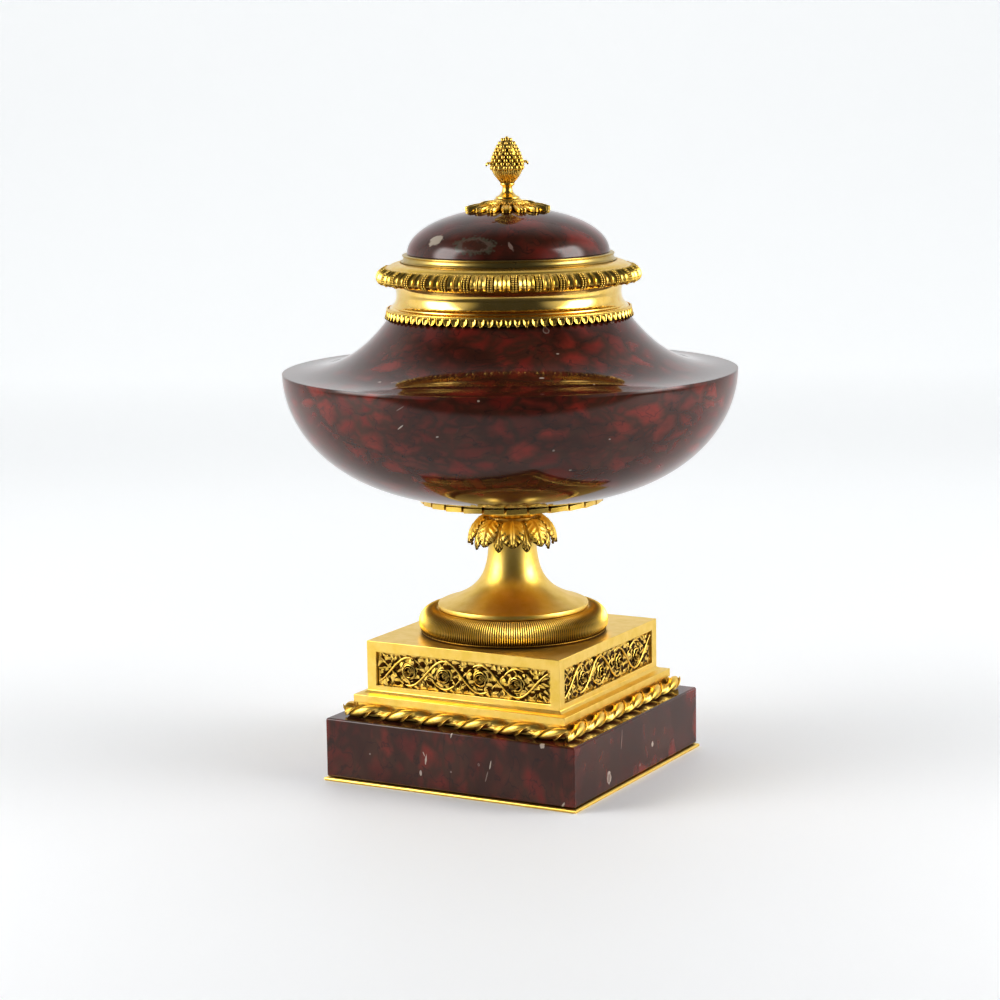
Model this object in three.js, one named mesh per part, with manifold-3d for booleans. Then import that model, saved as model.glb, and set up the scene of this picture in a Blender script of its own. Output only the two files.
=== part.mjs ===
// A footed vase of red-brown marble with gilt bronze mounts, on a square pedestal.
// Its lid lifts off.
// Millimetres, +Z up, origin at the centre of the underside. The pedestal's wide front faces -Y.
import * as THREE from 'three';
import { mergeVertices } from 'three/addons/utils/BufferGeometryUtils.js';
import Module from 'manifold-3d';

const wasm = await Module();
wasm.setup();

// Clearance between two pieces that touch
const seatGap = 0.3;

// Base plate and marble block
const plateHeight = 2.4;
const plateOverhang = 1.7;
const plinthHeight = 38.8;
const plinthLedge = 6.1; // marble that shows outside the ribbon
const plinthWear = 0.7; // rounding of the block's edges

// Twisted ribbon
const ribbonWidth = 8.6;
const ribbonThickness = 4.2;
const ribbonPitch = 27.6; // length of one full turn
const ribbonStandOff = 2.8; // from the step's face to the ribbon's centre line
const ribbonPhase = 1.1; // from the middle of a side to the nearest upright face
const ribbonStepsPerTurn = 6;

// Socle
const socleLedge = 8.1; // from the foot ring to the edge of the top
const stepProjection = 6.7;
const stepHeight = 5.1;
const cavettoHeight = 2.2;
const cavettoLedge = 0.9;
const borderBelow = 3.6; // flat border under the panel
const borderAbove = 6.9;
const borderSide = 6.8;
const panelHeight = 22;
const panelDepth = 4.2; // how far the panel is sunk

// Rose plaques
const plaqueThickness = 1.3;
const plaqueRelief = 2.9; // height of the roses above the plaque
const roseCount = 4;
const roseSpacing = 0.208; // of the plaque's width
const roseRadius = 5.6;
const vineRadius = 1.3; // half the vine's width
const vineRelief = 2.2;

// Foot
const footRadius = 62; // widest part of the ribbed ring
const footTorusRadius = 9.2;
const footFilletHeight = 1.2;
const discThickness = 3.2;
const stemRadius = 15;
const flareLength = 9.6; // how fast the flare thins out upwards
const stemHeight = 57.1; // from the disc's top to the stem's top

// Collar of curled leaves
const collarRadius = 29;
const collarHeight = 17.4;
const collarLeaves = 9;
const collarTurn = 28.7; // degrees from the front to the middle of a leaf

// Flat rosette under the bowl
const leafDiscRadius = 59.6;
const leafDiscThickness = 1.6;
const leafDiscLeaves = 26;
const leafDiscTurn = 10.6; // degrees from the front to a slit
const hubRadius = 20.7;
const hubHeight = 8.3;

// Marble bowl
const rimRadius = 147;
const bowlHeight = 85.4; // from the seat to the rim
const bowlSeatRadius = 30;
const bowlRoundness = 2.7; // exponent of the bowl's outline
const shoulderHeight = 34.5; // from the rim to the neck
const shoulderSweep = 2.7; // exponent of the shoulder's hollow curve
const marbleWall = 9;
const floorThickness = 12;

// Neck
const neckRadius = 77.5; // marble under the neck's mount
const neckHeight = 21.5;
const neckWaist = 5; // how far the polished hollow draws in
const neckWall = 6; // metal at the thinnest place
const neckFilletHeight = 6;
const borderLeaves = 88;
const borderTurn = 3.4; // degrees from the front to a leaf's tip
const borderLeafLength = 2.9;
const borderHeight = 5.8;
const borderThickness = 1.6;

// Gadrooned lip
const gadroonProjection = 7.6; // past the neck's foot
const gadroonHeight = 12.5;
const gadroonRepeats = 35; // one beaded column and two tongues each
const gadroonCarving = 1.1; // depth of the cuts between the tongues

// Lid
const lidRingInset = 8.2; // from the neck's foot to the lid ring's edge
const lidRingHeight = 5.4;
const lidPlugDepth = 6;
const plugClearance = 0.6;
const plugWall = 5;
const domeInset = 4.1; // from the lid ring's edge to the marble
const domeHeight = 28.7;
const rosetteRadius = 27.3;
const rosetteLeaves = 16;
const rosetteThickness = 4.2; // at the leaves' ends
const rosetteHubHeight = 5.2;
const rosetteHubRadius = 9.5;

// Finial
const finialFootRadius = 7.8;
const finialWaistRadius = 3.1;
const finialStemHeight = 9.2;
const budRadius = 10.6;
const budHeight = 30;
const calyxShare = 0.36; // of the bud's height
const earReach = 5.4; // how far the two curled leaf tips stand out
const earRadius = 1.7;
const earTurn = 54; // degrees from the right side

// Heights and half widths worked out from the sizes above
const plinthBase = plateHeight + seatGap;
const plinthTop = plinthBase + plinthHeight;
const socleHalf = footRadius + socleLedge;
const stepHalf = socleHalf + stepProjection;
const ribbonLine = stepHalf + ribbonStandOff;
const ribbonOuter = ribbonLine + ribbonWidth / 2;
const recessHalf = ribbonLine - ribbonWidth / 2 - seatGap;
const plinthHalf = ribbonOuter + plinthLedge;
const plateHalf = plinthHalf + plateOverhang;

const socleBase = plinthTop + seatGap;
const ribbonCentre = socleBase + ribbonWidth / 2;
const stepBase = socleBase + ribbonWidth + seatGap;
const stepTop = stepBase + stepHeight;
const dieBase = stepTop + cavettoHeight;
const panelBase = dieBase + borderBelow;
const socleTop = panelBase + panelHeight + borderAbove;
const panelWidth = 2 * (socleHalf - borderSide);

const footBase = socleTop + seatGap;
const torusMiddle = footRadius - footTorusRadius;
const torusStart = -Math.PI / 5;
const torusEnd = 0.62 * Math.PI;
const torusCentre = footBase + footFilletHeight - footTorusRadius * Math.sin(torusStart);
const footTop = torusCentre + footTorusRadius * Math.sin(torusEnd);
const discRadius = torusMiddle + footTorusRadius * Math.cos(torusEnd) - seatGap;
const discBase = footTop + seatGap;
const discTop = discBase + discThickness;
const stemTop = discTop + stemHeight;
const collarTop = stemTop - seatGap;
const collarBase = collarTop - collarHeight;

const hubBase = stemTop + seatGap;
const leafDiscBase = hubBase + hubHeight;
const leafDiscTop = leafDiscBase + leafDiscThickness;
const bodyBase = leafDiscTop + seatGap;
const rimHeight = bodyBase + bowlHeight;
const neckBase = rimHeight + shoulderHeight + seatGap;
const neckTop = neckBase + neckHeight;
const mouthRadius = neckRadius - neckWaist - neckWall;
const gadroonBase = neckTop + seatGap;
const gadroonTop = gadroonBase + gadroonHeight;
const lidSeat = gadroonTop + seatGap;
const lidRingRadius = neckRadius - lidRingInset;
const lidRingTop = lidSeat + lidRingHeight;
const plugRadius = mouthRadius - plugClearance;
const plugInner = plugRadius - plugWall;
const domeBase = lidRingTop + seatGap;
const domeRadius = lidRingRadius - domeInset;
const domeTop = domeBase + domeHeight;
const rosetteBase = domeTop + seatGap;
const rosetteTop = rosetteBase + rosetteHubHeight;
const finialBase = rosetteTop + seatGap;

// Finishes
const gilding = new THREE.MeshStandardMaterial({ color: 0xd9a441, roughness: 0.25, metalness: 1 });
const satinGilding = new THREE.MeshStandardMaterial({ color: 0xd2a24a, roughness: 0.42, metalness: 1 });
const lidBrass = new THREE.MeshStandardMaterial({ color: 0xb99a4a, roughness: 0.3, metalness: 1 });
const redMarble = new THREE.MeshStandardMaterial({ color: 0x4c1714, roughness: 0.1, metalness: 0 });

// Makes one closed indexed surface with its faces pointing out.
function closedSurface(geometry) {
  geometry.deleteAttribute('normal');
  geometry.deleteAttribute('uv');
  const merged = mergeVertices(geometry, 1e-3);
  const place = merged.getAttribute('position');
  const faces = [];
  const [a, b, c] = [new THREE.Vector3(), new THREE.Vector3(), new THREE.Vector3()];
  let volume = 0;
  for (let i = 0; i < merged.index.count; i += 3) {
    const corners = [0, 1, 2].map((k) => merged.index.getX(i + k));
    if (new Set(corners).size < 3) continue;
    [a, b, c].forEach((point, k) => point.fromBufferAttribute(place, corners[k]));
    volume += a.dot(b.cross(c));
    faces.push(...corners);
  }
  merged.setIndex(volume < 0 ? faces.reverse() : faces);
  return merged;
}

// A surface turned about Z. The section is a list of [radius, height] points that closes on itself, or
// starts and ends on the axis. carve(angle, row, radius, height) may give each point of each column a new
// [radius, height, angle].
function turned(section, columns, carve) {
  const outline = section.map(([radius, height]) => new THREE.Vector2(radius, height));
  if (section[0][0] > 0) outline.push(outline[0].clone());
  const lathe = new THREE.LatheGeometry(outline, columns);
  if (carve) {
    const place = lathe.getAttribute('position');
    for (let i = 0; i < place.count; i += 1) {
      const row = (i % outline.length) % section.length;
      const angle = (Math.floor(i / outline.length) % columns) * ((2 * Math.PI) / columns);
      const [radius, height, turn = angle] = carve(angle, row, ...section[row]);
      place.setXYZ(i, radius * Math.sin(turn), height, radius * Math.cos(turn));
    }
  }
  return closedSurface(lathe.rotateX(Math.PI / 2));
}

// A square moulding: the same section carried round four sides.
function squareMoulding(section) {
  const corners = section.map(([half, height]) => [half * Math.SQRT2, height]);
  return closedSurface(turned(corners, 4).rotateZ(Math.PI / 4));
}

function toSolid(geometry) {
  const surface = closedSurface(geometry);
  return new wasm.Manifold(new wasm.Mesh({
    numProp: 3,
    vertProperties: new Float32Array(surface.getAttribute('position').array),
    triVerts: new Uint32Array(surface.index.array),
  }));
}

function fromSolid(solid) {
  const { vertProperties, triVerts } = solid.getMesh();
  const geometry = new THREE.BufferGeometry();
  geometry.setAttribute('position', new THREE.BufferAttribute(vertProperties, 3));
  geometry.setIndex(new THREE.BufferAttribute(triVerts, 1));
  return geometry;
}

// Points along an arc of a circle in the section's plane
function arc(centreRadius, centreHeight, size, from, to, steps) {
  return Array.from({ length: steps + 1 }, (_, i) => {
    const angle = from + ((to - from) * i) / steps;
    return [centreRadius + size * Math.cos(angle), centreHeight + size * Math.sin(angle)];
  });
}

function basePlate() {
  const round = plateHeight / 2;
  return squareMoulding([
    [0, 0],
    [plateHalf - round, 0],
    ...arc(plateHalf - round, round, round, -Math.PI / 4, Math.PI / 4, 2),
    [plateHalf - round, plateHeight],
    [0, plateHeight],
  ]);
}

function marblePlinth() {
  return squareMoulding([
    [0, plinthBase],
    [plinthHalf - plinthWear, plinthBase],
    [plinthHalf, plinthBase + plinthWear],
    [plinthHalf, plinthTop - plinthWear],
    [plinthHalf - plinthWear, plinthTop],
    [0, plinthTop],
  ]);
}

function socle() {
  const block = toSolid(squareMoulding([
    [0, socleBase],
    [recessHalf, socleBase],
    [recessHalf, stepBase],
    [stepHalf, stepBase],
    [stepHalf, stepTop],
    [stepHalf - cavettoLedge, stepTop],
    [socleHalf + stepProjection * 0.3, stepTop + cavettoHeight * 0.25],
    [socleHalf, dieBase],
    [socleHalf, socleTop],
    [0, socleTop],
  ]));
  let solid = block;
  for (let side = 0; side < 4; side += 1) {
    const sinking = new THREE.BoxGeometry(panelWidth, 2 * panelDepth, panelHeight)
      .translate(0, -socleHalf, panelBase + panelHeight / 2)
      .rotateZ((side * Math.PI) / 2);
    solid = solid.subtract(toSolid(sinking));
  }
  return fromSolid(solid);
}

// One side of the ribbon border, along X in front of the socle, with its ends mitred
function ribbon() {
  const length = 2 * ribbonOuter;
  const steps = Math.round((length / ribbonPitch) * ribbonStepsPerTurn);
  const strip = new THREE.CylinderGeometry(1, 1, length, 4, steps).rotateZ(-Math.PI / 2);
  const place = strip.getAttribute('position');
  const point = new THREE.Vector3();
  for (let i = 0; i < place.count; i += 1) {
    point.fromBufferAttribute(place, i);
    const flat = new THREE.Vector2((point.y * ribbonThickness) / 2, (point.z * ribbonWidth) / 2);
    flat.rotateAround(new THREE.Vector2(), (-2 * Math.PI * (point.x - ribbonPhase)) / ribbonPitch);
    place.setXYZ(i, point.x, flat.x - ribbonLine, flat.y + ribbonCentre);
  }
  const spare = ribbonWidth;
  const near = ribbonLine + ribbonWidth;
  const far = ribbonLine - ribbonWidth;
  const mitre = seatGap * Math.SQRT1_2;
  const trapezium = new THREE.Shape([
    new THREE.Vector2(-near + mitre, -near),
    new THREE.Vector2(near - mitre, -near),
    new THREE.Vector2(far - mitre, -far),
    new THREE.Vector2(-far + mitre, -far),
  ]);
  const room = new THREE.ExtrudeGeometry(trapezium, { depth: ribbonWidth + 2 * spare, bevelEnabled: false })
    .translate(0, 0, ribbonCentre - ribbonWidth / 2 - spare);
  return fromSolid(toSolid(strip).intersect(toSolid(room)));
}

// A rose plaque in the front panel: two vines that cross, a rose in each loop and leaves at the crossings
function rosePlaque() {
  const width = panelWidth - 2 * seatGap;
  const height = panelHeight - 2 * seatGap;
  const back = -(socleHalf - panelDepth) - seatGap;
  const face = back - plaqueThickness;
  const middle = panelBase + panelHeight / 2;
  const spacing = roseSpacing * width;
  const loopRise = height / 2 - vineRadius - 0.5;
  const steps = 3 * roseCount;
  let solid = toSolid(new THREE.BoxGeometry(width, plaqueThickness, height)
    .translate(0, (back + face) / 2, middle));
  for (const side of [-1, 1]) {
    const line = Array.from({ length: steps + 1 }, (_, i) => {
      const x = ((i - steps / 2) * spacing) / 3;
      const wave = Math.cos(Math.PI * (x / spacing + (roseCount % 2 ? 0 : 0.5)));
      return [x, (side * loopRise * wave) / Math.cos(Math.PI / 6)];
    });
    const edge = [
      ...line.map(([x, z]) => new THREE.Vector2(x, z - vineRadius)),
      ...line.reverse().map(([x, z]) => new THREE.Vector2(x, z + vineRadius)),
    ];
    const raised = { depth: vineRelief + 0.4, bevelEnabled: false };
    const vine = new THREE.ExtrudeGeometry(new THREE.Shape(edge), raised)
      .rotateX(Math.PI / 2)
      .translate(0, face + 0.4, middle);
    solid = solid.add(toSolid(vine));
  }
  for (let i = 0; i < roseCount; i += 1) {
    const x = (i - (roseCount - 1) / 2) * spacing;
    const rose = new THREE.CylinderGeometry(roseRadius, roseRadius * 0.6, plaqueRelief + 0.4, 6)
      .translate(x, face - plaqueRelief / 2 + 0.2, middle);
    solid = solid.add(toSolid(rose));
  }
  for (let i = 1; i < roseCount; i += 1) {
    const x = (i - roseCount / 2) * spacing;
    for (const side of [-1, 1]) {
      const leaf = new THREE.OctahedronGeometry(1)
        .scale(roseRadius * 0.55, plaqueRelief / 2 + 0.2, height * 0.14)
        .translate(x, face - plaqueRelief / 2 + 0.2, middle + side * height * 0.34);
      solid = solid.add(toSolid(leaf));
    }
  }
  return fromSolid(solid);
}

function footRing() {
  const fillet = torusMiddle + footTorusRadius * Math.cos(torusStart) + 0.4;
  return turned([
    [0, footBase],
    [fillet, footBase],
    [fillet, footBase + footFilletHeight],
    ...arc(torusMiddle, torusCentre, footTorusRadius, torusStart, torusEnd, 5),
    [0, footTop],
  ], 32);
}

const stemWidth = (height) => stemRadius
  + (discRadius - stemRadius) * Math.exp(-Math.max(0, height - discTop) / flareLength);

function footStem() {
  const flare = [0, 2, 5.5, 10.5, 18, 30].map((rise) => [stemWidth(discTop + rise), discTop + rise]);
  return turned([[0, discBase], [discRadius, discBase], ...flare, [stemRadius, stemTop], [0, stemTop]], 28);
}

// Leaves that rise around the stem, curl over and hang free, a wide one and a narrow one in turn
function acanthusCollar() {
  const hole = stemWidth(collarBase) + seatGap;
  const reach = collarRadius - hole;
  const section = [
    [hole, collarTop],
    [hole + reach * 0.68, collarTop - collarHeight * 0.22],
    [collarRadius, collarTop - collarHeight * 0.7],
    [collarRadius - reach * 0.12, collarBase],
    [hole, collarTop - collarHeight * 0.35],
  ];
  // Across one leaf and the narrow one beside it: how far each column is drawn in and its tip is raised
  const drawnIn = [0, 0.04, 0.24, 0.1, 0.24, 0.04];
  const raised = [0.17, 0.19, 0.42, 0, 0.42, 0.19];
  const columns = collarLeaves * drawnIn.length;
  return turned(section, columns, (angle, row, radius, height) => {
    const column = Math.round((angle / (2 * Math.PI)) * columns) % drawnIn.length;
    const cut = reach * drawnIn[column];
    if (row === 1) return [radius - cut * 0.5, height];
    if (row === 2) return [radius - cut, height];
    if (row === 3) return [radius - cut, height + collarHeight * raised[column]];
    return [radius, height];
  }).rotateZ(THREE.MathUtils.degToRad(collarTurn));
}

// The outline of a ring of leaves with square ends and slits between them
function leafOutline(radius, leaves, slitDepth, slitShare) {
  const pitch = (2 * Math.PI) / leaves;
  const points = [];
  for (let i = 0; i < leaves; i += 1) {
    const slit = i * pitch;
    points.push([slit, radius - slitDepth]);
    points.push([slit + pitch * slitShare, radius]);
    points.push([slit + pitch * (1 - slitShare), radius]);
  }
  return new THREE.Shape(points.map(([angle, reach]) => new THREE.Vector2(
    reach * Math.sin(angle),
    -reach * Math.cos(angle),
  )));
}

function leafDisc() {
  const leaves = new THREE.ExtrudeGeometry(
    leafOutline(leafDiscRadius, leafDiscLeaves, leafDiscRadius * 0.12, 0.08),
    { depth: leafDiscThickness, bevelEnabled: false },
  ).translate(0, 0, leafDiscBase).rotateZ(THREE.MathUtils.degToRad(leafDiscTurn));
  const hub = turned([
    [0, hubBase],
    [hubRadius * 0.9, hubBase],
    [hubRadius, hubBase + hubHeight * 0.5],
    [hubRadius * 1.15, leafDiscTop - leafDiscThickness / 2],
    [0, leafDiscTop - leafDiscThickness / 2],
  ], 16);
  return fromSolid(toSolid(leaves).add(toSolid(hub)));
}

// Half of a rounded outline that widens from the axis at the bottom to its full radius at the top
function bowlWidth(radius, depth, below) {
  const share = Math.min(1, Math.max(0, below / depth));
  return radius * (1 - share ** 1.95) ** (1 / bowlRoundness);
}

function shoulderRise(radius, inner, outer, height) {
  return height * ((outer - radius) / (outer - inner)) ** shoulderSweep;
}

function vaseBody() {
  const bowlDepth = bowlHeight + 0.3;
  const bowl = [0.955, 0.85, 0.68, 0.46, 0.22].map((share) => [
    bowlWidth(rimRadius, bowlDepth, share * bowlDepth),
    rimHeight - share * bowlDepth,
  ]);
  const shoulder = [0, 0.3, 0.53, 0.7, 0.86].map((share) => {
    const radius = rimRadius + (neckRadius - rimRadius) * share;
    return [radius, rimHeight + shoulderRise(radius, neckRadius, rimRadius, shoulderHeight)];
  });
  const innerRadius = rimRadius - marbleWall;
  const innerRim = rimHeight - marbleWall;
  const innerDepth = innerRim - bodyBase - floorThickness;
  const innerRise = shoulderHeight + marbleWall;
  const innerShoulder = [0.72, 0.42, 0].map((share) => {
    const radius = innerRadius + (mouthRadius - innerRadius) * share;
    return [radius, innerRim + shoulderRise(radius, mouthRadius, innerRadius, innerRise)];
  });
  const innerBowl = [0.5, 0.9].map((share) => [
    bowlWidth(innerRadius, innerDepth, share * innerDepth),
    innerRim - share * innerDepth,
  ]);
  const top = rimHeight + shoulderHeight;
  return turned([
    [0, bodyBase],
    [bowlSeatRadius, bodyBase],
    ...bowl,
    ...shoulder,
    [neckRadius, top],
    [mouthRadius, top],
    ...innerShoulder,
    ...innerBowl,
    [0, bodyBase + floorThickness],
  ], 32);
}

// A ring of pointed leaves: a plain top edge and a zigzag lower edge
function leafBorder() {
  const inner = neckRadius + seatGap;
  const outer = inner + borderThickness;
  const valley = neckBase + borderLeafLength;
  const top = neckBase + borderHeight;
  const points = [];
  const corner = (radius, angle, height) => {
    points.push(radius * Math.sin(angle), -radius * Math.cos(angle), height);
  };
  const pitch = (2 * Math.PI) / borderLeaves;
  for (let i = 0; i < borderLeaves; i += 1) {
    const tip = i * pitch + THREE.MathUtils.degToRad(borderTurn);
    corner(inner, tip - pitch / 2, top);
    corner(outer - 0.3, tip - pitch / 2, top);
    corner(outer, tip - pitch / 2, valley);
    corner(outer, tip, neckBase);
  }
  const faces = [];
  for (let i = 0; i < borderLeaves; i += 1) {
    const [innerTop, outerTop, notch, tip] = [0, 1, 2, 3].map((k) => 4 * i + k);
    const [nextInner, nextOuter, nextNotch] = [0, 1, 2].map((k) => 4 * ((i + 1) % borderLeaves) + k);
    faces.push(innerTop, outerTop, nextOuter, innerTop, nextOuter, nextInner);
    faces.push(outerTop, notch, tip, outerTop, tip, nextOuter, nextOuter, tip, nextNotch);
    faces.push(innerTop, tip, notch, innerTop, nextInner, tip, nextInner, nextNotch, tip);
  }
  const geometry = new THREE.BufferGeometry();
  geometry.setAttribute('position', new THREE.Float32BufferAttribute(points, 3));
  geometry.setIndex(faces);
  return closedSurface(geometry);
}

function neckMount() {
  const waist = neckRadius - neckWaist;
  const hollow = neckHeight - neckFilletHeight;
  return turned([
    [mouthRadius, neckBase],
    [neckRadius, neckBase],
    [neckRadius, neckBase + neckFilletHeight],
    [waist, neckBase + neckFilletHeight + hollow * 0.3],
    [waist, neckBase + neckFilletHeight + hollow * 0.8],
    [waist - neckWall * 0.35, neckTop],
    [mouthRadius, neckTop],
  ], 28);
}

function gadroonRim() {
  const outer = neckRadius + gadroonProjection;
  const section = [
    [mouthRadius, gadroonBase],
    [outer - gadroonProjection * 0.6, gadroonBase],
    [outer, gadroonBase + gadroonHeight * 0.28],
    [neckRadius, gadroonBase + gadroonHeight * 0.84],
    [mouthRadius, gadroonTop],
  ];
  const columnsPerRepeat = 3;
  const columns = gadroonRepeats * columnsPerRepeat;
  return turned(section, columns, (angle, row, radius, height) => {
    const column = Math.round((angle / (2 * Math.PI)) * columns) % columnsPerRepeat;
    const cut = column && (row === 1 || row === 2);
    return [radius - (cut ? gadroonCarving : 0), height];
  });
}

function lidRing() {
  return turned([
    [plugInner, lidSeat - lidPlugDepth],
    [plugRadius, lidSeat - lidPlugDepth],
    [plugRadius, lidSeat],
    [lidRingRadius, lidSeat],
    [lidRingRadius - domeInset * 0.15, lidSeat + lidRingHeight * 0.4],
    [lidRingRadius - domeInset * 0.6, lidRingTop],
    [plugInner, lidRingTop],
  ], 28);
}

function domeRise(radius, spread, height) {
  return height * Math.sqrt(Math.max(0, 1 - (radius / spread) ** 2));
}

const domeColumns = 28;

const domeOutline = [1, 0.975, 0.9, 0.76, 0.5].map((share) => [
  domeRadius * share,
  domeBase + domeRise(domeRadius * share, domeRadius, domeHeight),
]);

function lidDome() {
  const insideRadius = domeRadius - marbleWall;
  const insideHeight = domeHeight - marbleWall;
  const inside = [0.7, 1].map((share) => [
    insideRadius * share,
    domeBase + domeRise(insideRadius * share, insideRadius, insideHeight),
  ]);
  return turned([[0, domeBase + insideHeight], ...inside, ...domeOutline, [0, domeTop]], domeColumns);
}

// Thick leaves that lie on the dome, cut from a low cone by their outline and by the dome's own curve
function lidRosette() {
  const low = domeBase + domeHeight / 2;
  const endTop = domeBase + domeRise(rosetteRadius, domeRadius, domeHeight) + seatGap + rosetteThickness;
  const cone = turned([
    [0, low],
    [rosetteRadius + 2, low],
    [rosetteRadius + 2, endTop - 0.4],
    [rosetteHubRadius * 1.3, rosetteTop],
    [0, rosetteTop],
  ], 16);
  const outline = new THREE.ExtrudeGeometry(
    leafOutline(rosetteRadius, rosetteLeaves, rosetteRadius * 0.22, 0.12),
    { depth: 2 * domeHeight, bevelEnabled: false },
  ).translate(0, 0, low - domeHeight / 2);
  const raised = domeOutline.map(([radius, height]) => [radius, height + seatGap]);
  const marble = turned([[0, domeBase + seatGap], ...raised, [0, domeTop + seatGap]], domeColumns);
  return fromSolid(toSolid(cone).intersect(toSolid(outline)).subtract(toSolid(marble)));
}

// The bud swells above the calyx and closes to a point. It has a berry at every other crossing of rows
// and columns.
function finial() {
  const stemTopHeight = finialBase + finialStemHeight;
  const columns = 12;
  const rows = 10;
  const stem = [
    [0, finialBase],
    [finialFootRadius, finialBase],
    [finialFootRadius * 0.85, finialBase + finialStemHeight * 0.16],
    [finialWaistRadius, finialBase + finialStemHeight * 0.5],
    [finialWaistRadius, finialBase + finialStemHeight * 0.72],
    [finialWaistRadius * 1.45, finialBase + finialStemHeight * 0.88],
    [finialWaistRadius * 1.2, stemTopHeight],
  ];
  const bud = Array.from({ length: rows }, (_, i) => {
    const share = (i + 1) / (rows + 1);
    const lower = Math.min(1, share / calyxShare);
    const upper = Math.max(0, (share - calyxShare) / (1 - calyxShare));
    const width = share < calyxShare
      ? finialWaistRadius * 1.2 + (budRadius - finialWaistRadius * 1.2) * Math.sin((lower * Math.PI) / 2)
      : budRadius * (1 - upper ** 1.7) ** 0.65;
    return [width, stemTopHeight + share * budHeight];
  });
  const firstBerry = stem.length + Math.ceil(calyxShare * rows);
  const section = [...stem, ...bud, [0, stemTopHeight + budHeight]];
  const body = turned(section, columns, (angle, row, radius, height) => {
    const column = Math.round((angle / (2 * Math.PI)) * columns);
    const berry = row >= firstBerry && row < stem.length + bud.length && (column + row) % 2 === 1;
    const groove = row >= stem.length && row < firstBerry && column % 2 === 1;
    return [radius - (berry ? budRadius * 0.1 : 0) - (groove ? budRadius * 0.08 : 0), height];
  });
  let solid = toSolid(body);
  for (const side of [-1, 1]) {
    const ear = new THREE.OctahedronGeometry(1, 0)
      .scale(earReach * 0.75, earRadius, earRadius)
      .translate(side * (budRadius + earReach * 0.25), 0, stemTopHeight + budHeight * calyxShare)
      .rotateZ(THREE.MathUtils.degToRad(earTurn));
    solid = solid.add(toSolid(ear));
  }
  return fromSolid(solid);
}

const vase = new THREE.Group();

function place(name, geometry, material, turn = 0) {
  geometry.computeVertexNormals();
  const mesh = new THREE.Mesh(geometry, material);
  mesh.name = name;
  mesh.rotation.z = turn;
  vase.add(mesh);
}

const sides = ['front', 'right', 'back', 'left'];

place('base_plate', basePlate(), gilding);
place('marble_plinth', marblePlinth(), redMarble);
place('socle', socle(), satinGilding);
sides.forEach((side, i) => place(`ribbon_${side}`, ribbon(), gilding, (i * Math.PI) / 2));
sides.forEach((side, i) => place(`rose_panel_${side}`, rosePlaque(), gilding, (i * Math.PI) / 2));
place('foot_ring', footRing(), gilding);
place('foot_stem', footStem(), satinGilding);
place('acanthus_collar', acanthusCollar(), gilding);
place('leaf_disc', leafDisc(), gilding);
place('vase_body', vaseBody(), redMarble);
place('leaf_border', leafBorder(), gilding);
place('neck_mount', neckMount(), gilding);
place('gadroon_rim', gadroonRim(), gilding);
place('lid_ring', lidRing(), lidBrass);
place('lid_dome', lidDome(), redMarble);
place('lid_rosette', lidRosette(), gilding);
place('finial', finial(), gilding);

export default vase;
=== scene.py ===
import math

import bmesh
import bpy
from mathutils import Matrix, Vector
from mathutils.bvhtree import BVHTree


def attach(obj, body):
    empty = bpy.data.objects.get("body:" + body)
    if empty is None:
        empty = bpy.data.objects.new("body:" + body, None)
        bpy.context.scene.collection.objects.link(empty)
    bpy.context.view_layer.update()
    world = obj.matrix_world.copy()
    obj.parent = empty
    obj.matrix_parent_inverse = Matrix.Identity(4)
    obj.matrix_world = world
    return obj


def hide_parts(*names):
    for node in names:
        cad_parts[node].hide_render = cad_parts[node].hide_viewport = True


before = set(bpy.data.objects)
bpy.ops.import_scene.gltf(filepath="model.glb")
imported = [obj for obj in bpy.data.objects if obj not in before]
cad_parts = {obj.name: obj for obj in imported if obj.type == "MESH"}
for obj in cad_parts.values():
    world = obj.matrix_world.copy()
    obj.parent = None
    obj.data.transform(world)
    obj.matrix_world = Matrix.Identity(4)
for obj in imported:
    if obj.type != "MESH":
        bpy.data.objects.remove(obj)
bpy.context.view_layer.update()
scene = bpy.context.scene

# All sizes below are in millimetres and degrees, and become metres where a piece is made.
MM = 0.001
TURN = 2 * math.pi

# Camera
LENS = 98.16
SENSOR = 36.0
CAMERA_DISTANCE = 1774.0
CAMERA_RISE = 9.378
CAMERA_SIDE = 28.742
CAMERA_ROLL = -0.858
AIM_ACROSS = -7.7
AIM_HEIGHT = 176.5

# Pedestal
SOCLE_HALF = 70.1
PANEL_DEPTH = 4.2
PANEL_WIDTH = 126.6
PANEL_HEIGHT = 22.0
PANEL_BASE = 61.6
RIBBON_LINE = 79.6
RIBBON_HEIGHT = 46.1
RIBBON_WIDTH = 8.6
RIBBON_PITCH = 27.6
RIBBON_PHASE = 1.1

# Foot
FOOT_BASE = 90.8
TORUS_RADIUS = 9.2
TORUS_MIDDLE = 52.8
TORUS_HEIGHT = 97.4
DISC_RADIUS = 49.1
DISC_BASE = 106.26
DISC_TOP = 109.46
STEM_RADIUS = 15.0
STEM_TOP = 166.56
FLARE_LENGTH = 9.6
COLLAR_TOP = 166.26
COLLAR_TURN = 28.7
COLLAR_LEAVES = 9
RIB_COUNT = 256

# Bowl
LEAF_DISC_BASE = 175.16
LEAF_DISC_RADIUS = 59.6
LEAF_DISC_TURN = 10.6
LEAF_DISC_LEAVES = 26
BODY_BASE = 177.06
RIM_RADIUS = 147.0
RIM_HEIGHT = 262.46
BOWL_DEPTH = 85.7
NECK_RADIUS = 77.5
MOUTH_RADIUS = 66.5
SHOULDER_HEIGHT = 34.5
MARBLE_WALL = 9.0

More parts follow.
